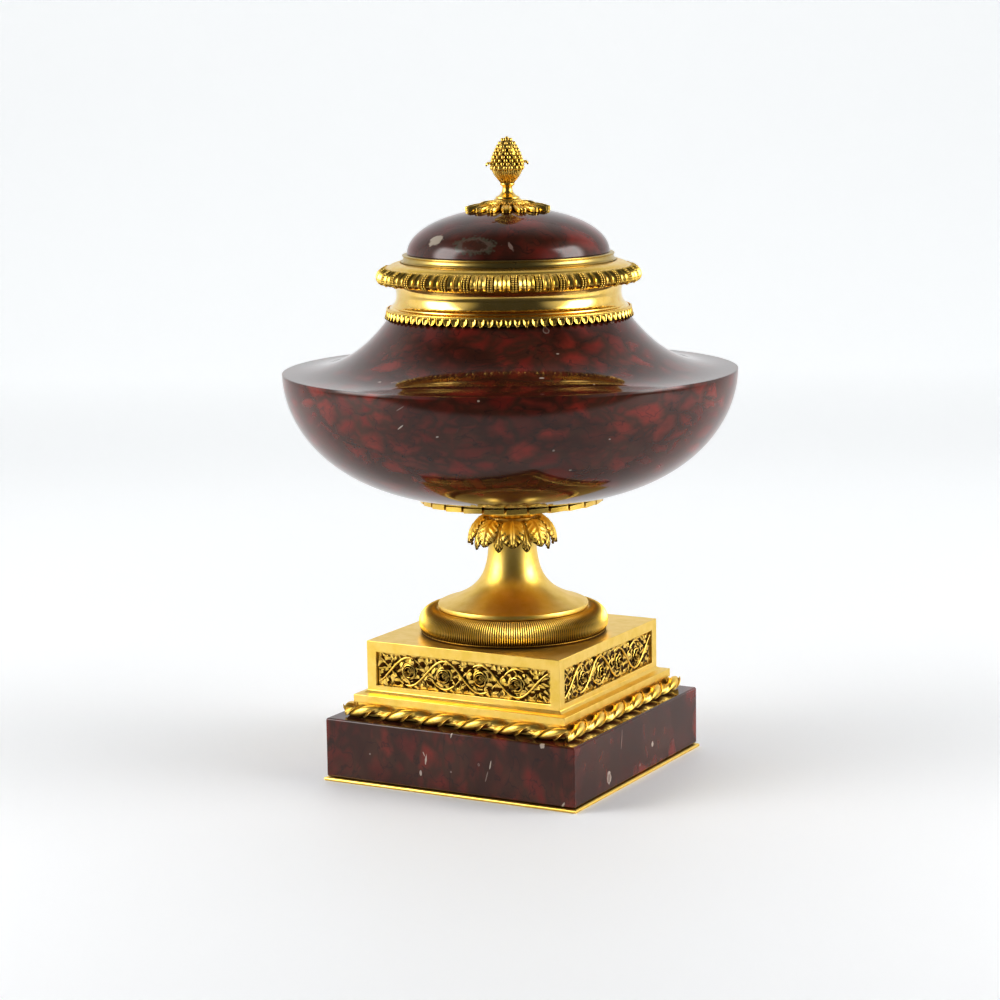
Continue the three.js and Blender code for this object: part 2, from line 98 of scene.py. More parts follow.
# Neck and lid
NECK_BASE = 297.26
BORDER_TURN = 3.4
BORDER_LEAVES = 88
GADROON_BASE = 319.06
GADROON_OUTER = 85.1
GADROON_GROUPS = 35
LID_SEAT = 331.86
DOME_BASE = 337.56
DOME_RADIUS = 65.2
DOME_HEIGHT = 28.7
ROSETTE_RADIUS = 27.3
ROSETTE_LEAVES = 16
ROSETTE_TURN = 4
FINIAL_BASE = 372.06
BUD_RADIUS = 10.6
SEAT_GAP = 0.3

# The vase's axis, for what is turned or repeated round it
AXIS = {"cent": (0, 0, 0), "axis": (0, 0, 1), "dvec": (0, 0, 0)}


# Shaping

def at(angle, radius, height):
    """A point in metres at an angle in degrees from the front towards the right."""
    turned = math.radians(angle)
    return Vector((radius * math.sin(turned), -radius * math.cos(turned), height)) * MM


def line_of(bm, points, closed):
    """A section's points, given as radius and height, joined in turn."""
    verts = [bm.verts.new(at(0, radius, height)) for radius, height in points]
    edges = [bm.edges.new(pair) for pair in zip(verts, verts[1:])]
    if closed:
        edges.append(bm.edges.new((verts[-1], verts[0])))
    return verts, edges


def raised(base, points):
    """Section points whose heights are given from a base."""
    return [(radius, base + height) for radius, height in points]


def spun(bm, points, closed, steps):
    """Turns a section round the vase's axis."""
    verts, edges = line_of(bm, points, closed)
    bmesh.ops.spin(bm, geom=verts + edges, **AXIS, angle=TURN, steps=steps, use_merge=True)


def weld(bm):
    bmesh.ops.remove_doubles(bm, verts=bm.verts[:], dist=2e-6)
    bmesh.ops.recalc_face_normals(bm, faces=bm.faces[:])


def turned_shape(points, steps, closed=True):
    """A section turned round the vase's axis."""
    bm = bmesh.new()
    spun(bm, points, closed, steps)
    weld(bm)
    return bm


def repeat_around(bm, count):
    """Copies what is there so that it stands count times round the axis."""
    geom = bm.verts[:] + bm.edges[:] + bm.faces[:]
    bmesh.ops.spin(bm, geom=geom, **AXIS, angle=TURN * (count - 1) / count, steps=count - 1,
                   use_duplicate=True)


def join_into(bm, other):
    """Adds another shape's faces to this one."""
    mesh = bpy.data.meshes.new("joined")
    other.to_mesh(mesh)
    other.free()
    bm.from_mesh(mesh)
    bpy.data.meshes.remove(mesh)


def carved_shape(points, repeats, columns, relief, closed=True):
    """A turned section whose surface is raised or cut in each repeat.

    relief gives millimetres outwards for a share of the repeat and a row of the section.
    """
    bm = bmesh.new()
    row_layer = bm.verts.layers.int.new("row")
    verts, edges = line_of(bm, points, closed)
    for row, vert in enumerate(verts):
        vert[row_layer] = row
    bmesh.ops.spin(bm, geom=verts + edges, **AXIS, angle=TURN / repeats, steps=columns)
    for vert in bm.verts:
        row = vert[row_layer]
        before = points[row - 1]
        after = points[(row + 1) % len(points)]
        out = Vector((after[1] - before[1], before[0] - after[0])).normalized()
        angle = math.atan2(vert.co.x, -vert.co.y)
        share = angle * repeats / TURN
        push = relief(share, row)
        radius = points[row][0] + out.x * push
        height = points[row][1] + out.y * push
        vert.co = at(math.degrees(angle), radius, height)
    repeat_around(bm, repeats)
    weld(bm)
    return bm


def sheet(bm, across, along, place):
    """A grid whose points are put by place(side from -1 to 1, share from 0 to 1)."""
    made = bmesh.ops.create_grid(bm, x_segments=across, y_segments=along, size=1)
    for vert in made["verts"]:
        vert.co = place(vert.co.x, (vert.co.y + 1) / 2)
    return made["verts"]


def points_among(items):
    return [item for item in items if isinstance(item, bmesh.types.BMVert)]


def thicken(bm, verts, thickness):
    """Gives a sheet a back, on the side its faces turn away from."""
    faces = list({face for vert in verts for face in vert.link_faces})
    bmesh.ops.solidify(bm, geom=faces, thickness=thickness * MM)


def backed(bm, verts):
    """Gives a sheet a second surface, and returns the points of that surface."""
    faces = list({face for vert in verts for face in vert.link_faces})
    return points_among(bmesh.ops.extrude_face_region(bm, geom=faces, use_keep_orig=True)["geom"])


def rod(bm, points, radii, sides=6):
    """A round stem along points in millimetres, thicker or thinner along its way."""
    path = [Vector(point) for point in points]
    ring = None
    for i, point in enumerate(path):
        ahead = path[min(i + 1, len(path) - 1)] - path[max(i - 1, 0)]
        turn = ahead.to_track_quat("Z", "Y").to_matrix().to_4x4()
        place = Matrix.Translation(point * MM) @ turn
        if ring is None:
            made = bmesh.ops.create_circle(bm, cap_ends=True, segments=sides, radius=radii[0] * MM,
                                           matrix=place)
            ring = list({edge for vert in made["verts"] for edge in vert.link_edges})
            base = place
            size = radii[0]
            continue
        grown = bmesh.ops.extrude_edge_only(bm, edges=ring)["geom"]
        verts = points_among(grown)
        move = place @ Matrix.Scale(radii[i] / size, 4) @ base.inverted()
        bmesh.ops.transform(bm, matrix=move, verts=verts)
        ring = [item for item in grown if isinstance(item, bmesh.types.BMEdge)]
        ring = [edge for edge in ring if all(vert in verts for vert in edge.verts)]
        base, size = place, radii[i]
    bmesh.ops.edgeloop_fill(bm, edges=ring)


def ball(bm, centre, radius, squash=(1, 1, 1), around=8, rows=6):
    place = Matrix.Translation(Vector(centre) * MM)
    bmesh.ops.create_uvsphere(bm, u_segments=around, v_segments=rows, radius=radius * MM,
                              matrix=place @ Matrix.Diagonal((*squash, 1)))


def hollows(mesh, reach, bottom=None, seat=None):
    """Stores how far each point lies in a hollow, from 0 in the open to 1 deep inside, as the mask for
    painted shade.

    Points behind bottom, in millimetres from the middle towards the back, count as deep, which paints shade
    on the ground behind a relief, and a seat at a height counts as a surface that closes the hollow from
    below, which paints shade where a piece sits on it.
    """
    tree = BVHTree.FromPolygons([v.co for v in mesh.vertices], [p.vertices[:] for p in mesh.polygons])
    golden = math.pi * (3 - math.sqrt(5))
    count = 14
    rays = []
    for i in range(count):
        rise = 0.25 + 0.7 * (i + 0.5) / count
        flat = math.sqrt(1 - rise * rise)
        rays.append(Vector((flat * math.cos(golden * i), flat * math.sin(golden * i), rise)))
    shade = mesh.attributes.new("hollow", "FLOAT", "POINT")
    values = []
    for vert in mesh.vertices:
        turn = vert.normal.to_track_quat("Z", "Y")
        start = vert.co + vert.normal * 0.05 * MM
        met = 0
        for ray in rays:
            way = turn @ ray
            # Rays that go down to the seat count as met, which paints shade near where a piece sits.
            below = seat is not None and way.z < -0.05 and (start.z - seat * MM) < -way.z * 7 * MM
            if below or tree.ray_cast(start, way, reach * MM)[0] is not None:
                met += 1
        # Points behind bottom get at least 0.8, which paints shade on the ground behind a relief.
        deep = bottom is not None and vert.co.y > bottom * MM
        values.append(max(met / len(rays), 0.8) if deep else met / len(rays))
    shade.data.foreach_set("value", values)


def mesh_of(name, bm):
    mesh = bpy.data.meshes.new(name)
    bmesh.ops.recalc_face_normals(bm, faces=bm.faces[:])
    bm.to_mesh(mesh)
    bm.free()
    return mesh


def finished(name, bm, node, material, smooth=40, painted_shade_reach=0, levels=0, seat=None):
    """Keeps a shape as one piece that stands for a solid of the frame."""
    return dressed(name, mesh_of(name, bm), node, material, smooth, painted_shade_reach, levels, seat)


def dressed(name, mesh, node, material, smooth, painted_shade_reach=0, levels=0, seat=None):
    for polygon in mesh.polygons:
        polygon.use_smooth = True
    mesh.set_sharp_from_angle(angle=math.radians(smooth))
    # The hollow attribute stored here is the mask for the painted shade of the gilding.
    if painted_shade_reach:
        hollows(mesh, painted_shade_reach, seat=seat)
    mesh.materials.append(material)
    piece = bpy.data.objects.new(name, mesh)
    scene.collection.objects.link(piece)
    if levels:
        soften = piece.modifiers.new("rounding", "SUBSURF")
        soften.levels = levels
        soften.render_levels = levels
    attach(piece, "root")
    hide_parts(node)
    return piece


# Finishes

def feed(tree, node, inputs):
    """Gives inputs of a node their values, or links where a value is another node's output."""
    for name, value in inputs.items():
        if isinstance(value, bpy.types.NodeSocket):
            tree.links.new(value, node.inputs[name])
        else:
            node.inputs[name].default_value = value


def add(tree, kind, inputs=None, **settings):
    """Adds a shader node with its settings and its inputs."""
    made = tree.nodes.new(kind)
    for name, value in settings.items():
        setattr(made, name, value)
    feed(tree, made, inputs or {})
    return made


def calc(tree, operation, *values, clamp=False):
    made = add(tree, "ShaderNodeMath", dict(enumerate(values)), operation=operation, use_clamp=clamp)
    return made.outputs[0]


def fade(tree, value, low, high, start=0.0, end=1.0):
    """A soft step from start to end as value goes from low to high."""
    made = add(tree, "ShaderNodeMapRange",
               {"Value": value, "From Min": low, "From Max": high, "To Min": start, "To Max": end},
               interpolation_type="SMOOTHSTEP")
    return made.outputs[0]


def blend(tree, share, first, second):
    made = add(tree, "ShaderNodeMix", {0: share, 6: first, 7: second}, data_type="RGBA")
    return made.outputs[2]


def noise(tree, place, scale, detail, roughness=0.5, output="Fac"):
    made = add(tree, "ShaderNodeTexNoise",
               {"Vector": place, "Scale": scale, "Detail": detail, "Roughness": roughness})
    return made.outputs[output]


def reach_along(tree, place, side):
    """How far a place lies in a level direction, given in degrees from the front towards the right."""
    heading = math.radians(side)
    made = add(tree, "ShaderNodeVectorMath", {0: place, 1: (math.sin(heading), -math.cos(heading), 0)},
               operation="DOT_PRODUCT")
    return made.outputs["Value"]


def group_of(name, inputs, outputs):
    """An empty node group with named inputs and outputs."""
    tree = bpy.data.node_groups.new(name, "ShaderNodeTree")
    for way, sockets in (("INPUT", inputs), ("OUTPUT", outputs)):
        for kind, labels in sockets.items():
            for label in labels:
                tree.interface.new_socket(label, in_out=way, socket_type="NodeSocket" + kind)
    return tree, tree.nodes.new("NodeGroupInput").outputs, tree.nodes.new("NodeGroupOutput")


def griotte_group():
    """Soft red nodules crowded in a dark ground, with small white shell marks and thin dark veins."""
    tree, given, out = group_of(
        "griotte marble", {"Vector": ["Place"], "Float": ["Nodule Scale", "Cover", "Marks"]},
        {"Color": ["Color"], "Float": ["Roughness", "Pits"]})
    place = given["Place"]
    warped = place
    for scale, amount in ((20.0, 0.024), (64.0, 0.009), (230.0, 0.002)):
        sway = noise(tree, place, scale, 2.0, output="Color")
        centred = add(tree, "ShaderNodeVectorMath", {0: sway, 1: (0.5, 0.5, 0.5)}, operation="SUBTRACT")
        moved = add(tree, "ShaderNodeVectorMath", {0: centred.outputs[0], "Scale": amount}, operation="SCALE")
        sum_of = add(tree, "ShaderNodeVectorMath", {0: warped, 1: moved.outputs[0]}, operation="ADD")
        warped = sum_of.outputs[0]
    cloud = noise(tree, place, 26.0, 3.0, 0.55)
    grain = noise(tree, warped, 230.0, 4.0, 0.6)
    bare = calc(tree, "SUBTRACT", 1.0, given["Cover"])

    def nodules(scale, edge, spread):
        """How red each cell is, faded out towards its edge, and the cell's own tones."""
        cell = add(tree, "ShaderNodeTexVoronoi", {"Vector": warped, "Scale": scale, "Smoothness": spread},
                   feature="SMOOTH_F1")
        gap = add(tree, "ShaderNodeTexVoronoi", {"Vector": warped, "Scale": scale},
                  feature="DISTANCE_TO_EDGE")
        tone = add(tree, "ShaderNodeSeparateColor", {0: cell.outputs["Color"]}).outputs
        low = calc(tree, "SUBTRACT", bare, 0.14)
        high = calc(tree, "ADD", bare, 0.22)
        red = fade(tree, tone[0], low, high)
        return calc(tree, "MULTIPLY", red, fade(tree, gap.outputs["Distance"], 0.0, edge)), tone

    large, tone = nodules(given["Nodule Scale"], 0.34, 0.5)
    small, small_tone = nodules(calc(tree, "MULTIPLY", given["Nodule Scale"], 2.2), 0.4, 0.5)
    redness = calc(tree, "MAXIMUM", large, calc(tree, "MULTIPLY", small, 0.5))
    redness = calc(tree, "MULTIPLY", redness, fade(tree, small_tone[1], 0.0, 0.5, 0.78, 1.0))
    redness = calc(tree, "MULTIPLY", redness, fade(tree, cloud, 0.32, 0.6, 0.5, 1.0))
    redness = calc(tree, "MULTIPLY", redness, fade(tree, grain, 0.25, 0.65, 0.68, 1.0), clamp=True)

    ground = blend(tree, fade(tree, cloud, 0.4, 0.66),
                   (0.05, 0.0142, 0.0072, 1), (0.074, 0.0255, 0.0135, 1))
    red = blend(tree, tone[1], (0.16, 0.0145, 0.0095, 1), (0.27, 0.032, 0.0195, 1))
    color = blend(tree, redness, ground, red)
    crack = calc(tree, "ABSOLUTE", calc(tree, "SUBTRACT", noise(tree, warped, 44.0, 3.0), 0.47))
    vein = fade(tree, crack, 0.014, 0.0)
    color = blend(tree, calc(tree, "MULTIPLY", vein, 0.55), color, (0.018, 0.009, 0.008, 1))

    shell = add(tree, "ShaderNodeTexVoronoi", {"Vector": warped, "Scale": 52.0}, feature="F1")
    shell_tone = add(tree, "ShaderNodeSeparateColor", {0: shell.outputs["Color"]}).outputs
    chosen = calc(tree, "GREATER_THAN", shell_tone[2], calc(tree, "MULTIPLY_ADD", given["Marks"], -0.1, 0.98))
    size = calc(tree, "MULTIPLY_ADD", shell_tone[0], 0.05, 0.02)
    near = calc(tree, "DIVIDE", shell.outputs["Distance"], size)
    mark = calc(tree, "MULTIPLY", fade(tree, near, 1.1, 0.7), chosen)
    hair = calc(tree, "ABSOLUTE", calc(tree, "SUBTRACT", noise(tree, warped, 46.0, 1.0), 0.56))
    where = fade(tree, noise(tree, place, 41.0, 2.0), 0.66, 0.72)
    hair = calc(tree, "MULTIPLY", fade(tree, hair, 0.004, 0.0), where)
    mark = calc(tree, "MAXIMUM", mark, calc(tree, "MULTIPLY", hair, given["Marks"]), clamp=True)
    color = blend(tree, calc(tree, "MULTIPLY", mark, 0.6), color, (0.42, 0.34, 0.29, 1))

    feed(tree, out, {"Color": color, "Roughness": calc(tree, "MULTIPLY_ADD", grain, 0.06, 0.045),
                     "Pits": calc(tree, "MULTIPLY_ADD", vein, -0.4, mark)})
    return tree


def shell_mark_group():
    """One white shell in the marble, whole or as a ring, with a ragged edge."""
    tree, given, out = group_of(
        "shell mark", {"Vector": ["Place", "Centre", "Turn", "Half Size"], "Float": ["Ring"]},
        {"Float": ["Mask"]})
    local = add(tree, "ShaderNodeMapping", {"Vector": given["Place"], "Location": given["Centre"],
                                            "Rotation": given["Turn"], "Scale": given["Half Size"]},
                vector_type="TEXTURE")
    far = add(tree, "ShaderNodeVectorMath", {0: local.outputs[0]}, operation="LENGTH").outputs["Value"]
    ragged = noise(tree, given["Place"], 420.0, 3.0)
    far = calc(tree, "ADD", far, calc(tree, "MULTIPLY_ADD", ragged, 1.1, -0.55))
    whole = fade(tree, far, 1.0, 0.75)
    middle = calc(tree, "MULTIPLY", fade(tree, far, 0.72, 0.5), given["Ring"])
    feed(tree, out, {"Mask": calc(tree, "SUBTRACT", whole, middle, clamp=True)})
    return tree


def gilt_group():
    """Gilding with painted shade in its hollows, soft patches and fine tool marks."""
    tree, given, out = group_of(
        "gilt bronze",
        {"Vector": ["Place"], "Color": ["Gold", "Shadow"], "Float": ["Hollow", "Burnish", "Matt", "Depth"]},
        {"Color": ["Color"], "Float": ["Roughness", "Tooling"]})
    patch = noise(tree, given["Place"], 120.0, 4.0, 0.6)
    # Painted shade: the gold turns to the shadow colour where the point lies deep in a hollow.
    deep = fade(tree, given["Hollow"], 0.22, given["Depth"])
    worn = fade(tree, patch, 0.35, 0.7)
    gold = add(tree, "ShaderNodeHueSaturation",
               {"Color": given["Gold"], "Saturation": calc(tree, "MULTIPLY_ADD", worn, 0.08, 0.96),
                "Value": calc(tree, "MULTIPLY_ADD", worn, -0.06, 1.01)}).outputs[0]
    rough = calc(tree, "MULTIPLY_ADD", fade(tree, given["Hollow"], 0.0, 0.45),
                 calc(tree, "SUBTRACT", given["Matt"], given["Burnish"]), given["Burnish"])
    feed(tree, out, {"Color": blend(tree, deep, gold, given["Shadow"]),
                     "Roughness": calc(tree, "MULTIPLY_ADD", patch, 0.04, rough),
                     "Tooling": noise(tree, given["Place"], 1500.0, 3.0)})
    return tree


GRIOTTE = griotte_group()
SHELL_MARK = shell_mark_group()
GILT = gilt_group()


def blank(name):
    material = bpy.data.materials.new(name)
    material.use_nodes = True
    tree = material.node_tree
    shader = tree.nodes["Principled BSDF"]
    return material, tree, shader


def bumped(tree, shader, height, strength, distance):
    bump = add(tree, "ShaderNodeBump", {"Height": height, "Strength": strength, "Distance": distance * MM})
    feed(tree, shader, {"Normal": bump.outputs[0]})


def polished_marble(name, move, stretch, turn, scale, cover, marks, shells):
    """Marble of one piece: its place and turn in the block that it was cut from, and its larger shells."""
    material, tree, shader = blank(name)
    here = add(tree, "ShaderNodeTexCoord").outputs["Object"]
    cut = add(tree, "ShaderNodeMapping",
              {"Vector": here, "Location": move, "Rotation": turn, "Scale": stretch})
    stone = add(tree, "ShaderNodeGroup",
                {"Place": cut.outputs[0], "Nodule Scale": scale, "Cover": cover, "Marks": marks},
                node_tree=GRIOTTE)
    color = stone.outputs["Color"]
    for centre, half_size, tilt, ring, tint in shells:
        shell = add(tree, "ShaderNodeGroup",
                    {"Place": here, "Centre": Vector(centre) * MM, "Half Size": Vector(half_size) * MM,
                     "Turn": [math.radians(angle) for angle in tilt], "Ring": ring},
                    node_tree=SHELL_MARK)
        color = blend(tree, shell.outputs["Mask"], color, tint)
    feed(tree, shader, {"Base Color": color, "Roughness": stone.outputs["Roughness"], "IOR": 1.5})
    bumped(tree, shader, stone.outputs["Pits"], 0.1, 0.15)
    return material


def gilding(name, gold, burnish, matt, tooling, depth=0.85, hollow=True):
    """A gilt finish, smoother in the open and rougher in hollows, with painted shade that darkens its
    hollows.
    """
    material, tree, shader = blank(name)
    here = add(tree, "ShaderNodeTexCoord").outputs["Object"]
    gilt = add(tree, "ShaderNodeGroup",
               {"Place": here, "Gold": gold, "Shadow": SHADOW, "Burnish": burnish, "Matt": matt,
                "Depth": depth},
               node_tree=GILT)
    # The hollow attribute read here is the mask of the painted shade.
    if hollow:
        read = add(tree, "ShaderNodeAttribute", attribute_name="hollow")
        feed(tree, gilt, {"Hollow": read.outputs["Fac"]})
    feed(tree, shader, {"Base Color": gilt.outputs["Color"], "Roughness": gilt.outputs["Roughness"],
                        "Metallic": 1.0})
    bumped(tree, shader, gilt.outputs["Tooling"], tooling, 0.05)
    return material


# Tones of the larger shells, then the shells of each piece: centre, half size, turn, ring or whole, tone
CREAM = (0.46, 0.38, 0.32, 1)
PALE = (0.24, 0.165, 0.135, 1)
DIM = (0.12, 0.08, 0.06, 1)
GREY_GREEN = (0.085, 0.075, 0.05, 1)
BOWL_SHELLS = (
    ((55.9, -56.0, 294.7), (2.4, 2.4, 3.8), (0, 0, 30), 0.9, PALE),
    ((77.7, -8.0, 296.1), (1.2, 5.0, 1.2), (0, 0, 20), 0.0, PALE),
    ((67.2, -62.3, 281.1), (1.0, 0.6, 0.6), (0, 0, 40), 0.0, CREAM),
    ((68.5, -85.7, 268.8), (2.0, 1.1, 1.0), (0, 0, 40), 0.0, CREAM),
    ((97.2, -72.5, 264.8), (0.7, 0.7, 0.9), (0, 0, 0), 0.0, CREAM),
    ((-17.2, -116.5, 265.8), (2.6, 1.4, 1.0), (0, 0, 20), 0.6, PALE),
    ((-28.4, -115.5, 265.4), (1.3, 0.8, 0.8), (0, 0, 0), 0.0, CREAM),
    ((2.8, -143.8, 242.8), (2.8, 1.6, 0.45), (0, -35, 0), 0.0, CREAM),
    ((25.4, -139.6, 237.5), (1.1, 1.0, 0.5), (0, -10, 10), 0.0, CREAM),
    ((52.9, -137.1, 260.2), (0.9, 0.8, 0.8), (0, 0, 20), 0.0, CREAM),
    ((112.7, -83.3, 233.6), (0.7, 1.1, 0.5), (0, 0, 0), 0.0, CREAM),
    ((89.6, -90.1, 214.3), (1.2, 1.2, 0.45), (0, 0, 40), 0.0, CREAM),
    ((4.2, -146.3, 254.4), (3.2, 1.2, 0.4), (0, -30, 0), 0.0, PALE))
LID_SHELLS = (
    ((-20.9, -56.5, 348.5), (7.0, 5.0, 4.4), (0, 0, 20), 0.0, (0.4, 0.34, 0.27, 1)),
    ((9.0, -61.4, 346.2), (16.0, 9.0, 6.6), (0, 0, 8), 0.8, GREY_GREEN),
    ((9.0, -61.4, 346.2), (12.6, 8.0, 5.0), (0, 0, 8), 1.0, DIM),
    ((31.4, -53.9, 345.0), (1.3, 2.0, 7.0), (0, -28, 30), 0.0, PALE))
PLINTH_SHELLS = (
    ((67.6, -90, 40.7), (2.0, 2.0, 2.4), (0, 0, 0), 0.0, CREAM),
    ((-15.8, -90, 22.5), (0.7, 1.5, 3.8), (0, 8, 0), 0.0, CREAM),
    ((-17.2, -90, 25.5), (0.4, 1.5, 2.0), (0, -24, 0), 0.0, CREAM),
    ((-19.9, -90, 12.9), (1.0, 1.3, 2.0), (0, 0, 0), 0.0, CREAM),
    ((3.1, -90, 40.4), (0.6, 1.2, 2.6), (0, 14, 0), 0.0, CREAM),
    ((30.9, -90, 24.3), (0.5, 1.2, 3.6), (0, 12, 0), 0.0, CREAM),
    ((28.0, -90, 16.0), (0.35, 1.2, 4.5), (0, 16, 0), 0.0, PALE),
    ((81.8, -90, 4.3), (0.8, 1.2, 2.4), (0, 35, 0), 0.0, CREAM),
    ((-57.3, -90, 21.1), (0.8, 1.0, 0.8), (0, 0, 0), 0.0, PALE),
    ((2.4, -90, 16.2), (0.7, 0.8, 0.7), (0, 0, 0), 0.0, PALE),
    ((22.5, -90, 23.3), (0.9, 1.0, 1.0), (0, 0, 0), 0.6, PALE),
    ((90, -42.1, 11.2), (2.4, 3.0, 4.6), (0, 0, 0), 0.55, CREAM),
    ((90, 21.5, 18.1), (1.6, 1.6, 2.2), (0, 0, 0), 0.0, CREAM),
    ((90, -23.8, 32.0), (1.0, 0.5, 7.0), (-8, 0, 0), 0.0, PALE),
    ((90, 2.6, 8.4), (1.0, 1.1, 1.0), (0, 0, 0), 0.0, PALE))

body_marble = polished_marble(
    "griotte of the bowl", move=(0.013, 0.02, 0.0), stretch=(1, 1, 1.6), turn=(0.2, 0.1, 0),
    scale=50, cover=0.84, marks=0.3, shells=BOWL_SHELLS)
lid_marble = polished_marble(
    "griotte of the lid", move=(0.31, 0.12, 0.05), stretch=(1, 1, 1.1), turn=(0.3, 0.2, 0.5),
    scale=36, cover=0.95, marks=0.15, shells=LID_SHELLS)
plinth_marble = polished_marble(
    "griotte of the plinth", move=(0.07, 0.23, 0.11), stretch=(1.25, 1.25, 0.85), turn=(0, 0.1, 0),
    scale=46, cover=0.55, marks=0.25, shells=PLINTH_SHELLS)

GOLD = (0.87, 0.595, 0.135, 1)
SHADOW = (0.055, 0.02, 0.002, 1)
carved_gilding = gilding("carved gilding", GOLD, 0.24, 0.46, 0.1)
scrolled_gilding = gilding("scrolled gilding", (0.92, 0.64, 0.15, 1), 0.34, 0.52, 0.1, depth=0.9)
ribbed_gilding = gilding("ribbed gilding", GOLD, 0.3, 0.5, 0.1, depth=0.5)
mirror_gilding = gilding("mirror gilding", (0.9, 0.63, 0.18, 1), 0.12, 0.3, 0.03, hollow=False)
satin_gilding = gilding("satin gilding", (0.93, 0.66, 0.165, 1), 0.34, 0.45, 0.12, hollow=False)
lid_brass = gilding("lid brass", (0.5, 0.37, 0.12, 1), 0.26, 0.35, 0.05, hollow=False)


# Pedestal

def softened(name, node, width, segments, material):
    """A solid of the frame with its sharp edges eased."""
    bm = bmesh.new()
    bm.from_mesh(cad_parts[node].data)
    bmesh.ops.remove_doubles(bm, verts=bm.verts[:], dist=2e-6)
    bmesh.ops.dissolve_limit(bm, angle_limit=math.radians(1), verts=bm.verts[:], edges=bm.edges[:])
    sharp = [edge for edge in bm.edges if edge.is_manifold and edge.calc_face_angle() > math.radians(20)]
    bmesh.ops.bevel(bm, geom=sharp, offset=width * MM, offset_type="OFFSET", segments=segments, profile=0.5,
                    affect="EDGES", clamp_overlap=True, material=-1)
    piece = finished(name, bm, node, material, smooth=30)
    for polygon in piece.data.polygons:
        polygon.use_smooth = polygon.area < 60 * MM * MM
    return piece


softened("plate_under_plinth", "base_plate", 0.12, 2, satin_gilding)
softened("plinth_block", "marble_plinth", 0.5, 3, plinth_marble)
softened("pedestal_socle", "socle", 0.25, 2, satin_gilding)


def ribbon_outline():
    """The ribbon's section as angle and radius: a veined hollow leaf between rims, and a rounded back."""
    outline = []
    for i in range(25):
        share = i / 12 - 1
        outline.append((85 * share, 1.4 + 2.5 * abs(share) ** 2.2 + 0.15 * math.cos(TURN * 3 * share)))
    back = [(88.5, 4.3), (92, 4.2), (96, 3.0), (102, 2.9), (112, 3.3), (126, 3.75), (142, 4.1), (160, 4.25)]
    outline += back + [(180, 4.3)] + [(360 - angle, radius) for angle, radius in reversed(back)]
    return outline


def ribbon_side():
    """One side of the twisted ribbon."""
    bm = bmesh.new()
    length = 2 * (RIBBON_LINE + RIBBON_WIDTH)
    start = -length / 2
    lean = -360 * (start - RIBBON_PHASE) / RIBBON_PITCH
    centre = Vector((start, -RIBBON_LINE, RIBBON_HEIGHT)) * MM
    verts = []
    for angle, radius in ribbon_outline():
        around = Matrix.Rotation(math.radians(lean + angle), 3, "X")
        verts.append(bm.verts.new(centre + around @ Vector((0, -radius * MM, 0))))
    edges = [bm.edges.new(pair) for pair in zip(verts, verts[1:] + verts[:1])]
    steps = int(length / RIBBON_PITCH * 30)
    bmesh.ops.spin(bm, geom=verts + edges, cent=centre, axis=(1, 0, 0), dvec=(length * MM / steps, 0, 0),
                   angle=-TURN * length / RIBBON_PITCH, steps=steps)
    for side in (-1, 1):
        geom = bm.verts[:] + bm.edges[:] + bm.faces[:]
        corner = Vector((side * (RIBBON_LINE - SEAT_GAP / 2), -RIBBON_LINE, 0)) * MM
        bmesh.ops.bisect_plane(bm, geom=geom, plane_co=corner, plane_no=(side, 1, 0), clear_outer=True)
        bmesh.ops.holes_fill(bm, edges=[edge for edge in bm.edges if edge.is_boundary])
    weld(bm)
    return bm


def rose(bm, x, z, size, turn, out):
    """An open rose of three rings of cupped petals round a hollow middle."""
    for ring, (count, inner, reach, rise, span, first) in enumerate((
            (5, 0.5, 1.0, 0.24, 41, 0), (5, 0.42, 0.76, 0.42, 40, 36), (4, 0.3, 0.5, 0.56, 48, 12))):
        for i in range(count):
            heading = math.radians(turn + first + 360 * i / count)

            def petal(side, share):
                far = size * (inner + (reach - inner) * share ** 1.2) * (1 - 0.1 * side * side * share)
                angle = heading + math.radians(span) * side * (0.65 + 0.35 * math.sin(share * math.pi * 0.7))
                lift = size * 0.75 * rise * math.sin(min(1, share * 1.3) * math.pi / 2)
                lift -= size * 0.25 * max(0, share - 0.7)
                lift += size * (0.05 * ring + 0.08 * side * side * share)
                return Vector((x + far * math.cos(angle), out - lift, z + far * math.sin(angle))) * MM

            thicken(bm, sheet(bm, 6, 4, petal), 0.35)
    ball(bm, (x, out - size * 0.3, z), size * 0.15, around=6, rows=4)


def leaflet(bm, x, z, out, heading, length, width, lean=0.0):
    """A small pointed leaf with a folded middle."""
    along = Vector((math.cos(heading), 0, math.sin(heading)))
    across = Vector((-math.sin(heading), 0, math.cos(heading)))

    def blade(side, share):
        half = width * 0.5 * math.sin(math.pi * (0.05 + 0.92 * share) ** 0.85)
        lift = 0.45 * math.sin(math.pi * share) + 0.5 * lean * share + 0.22 * abs(side) * half
        point = Vector((x, out, z)) + along * length * share + across * half * side
        return (point + Vector((0, -lift, 0))) * MM

    thicken(bm, sheet(bm, 4, 4, blade), 0.4)


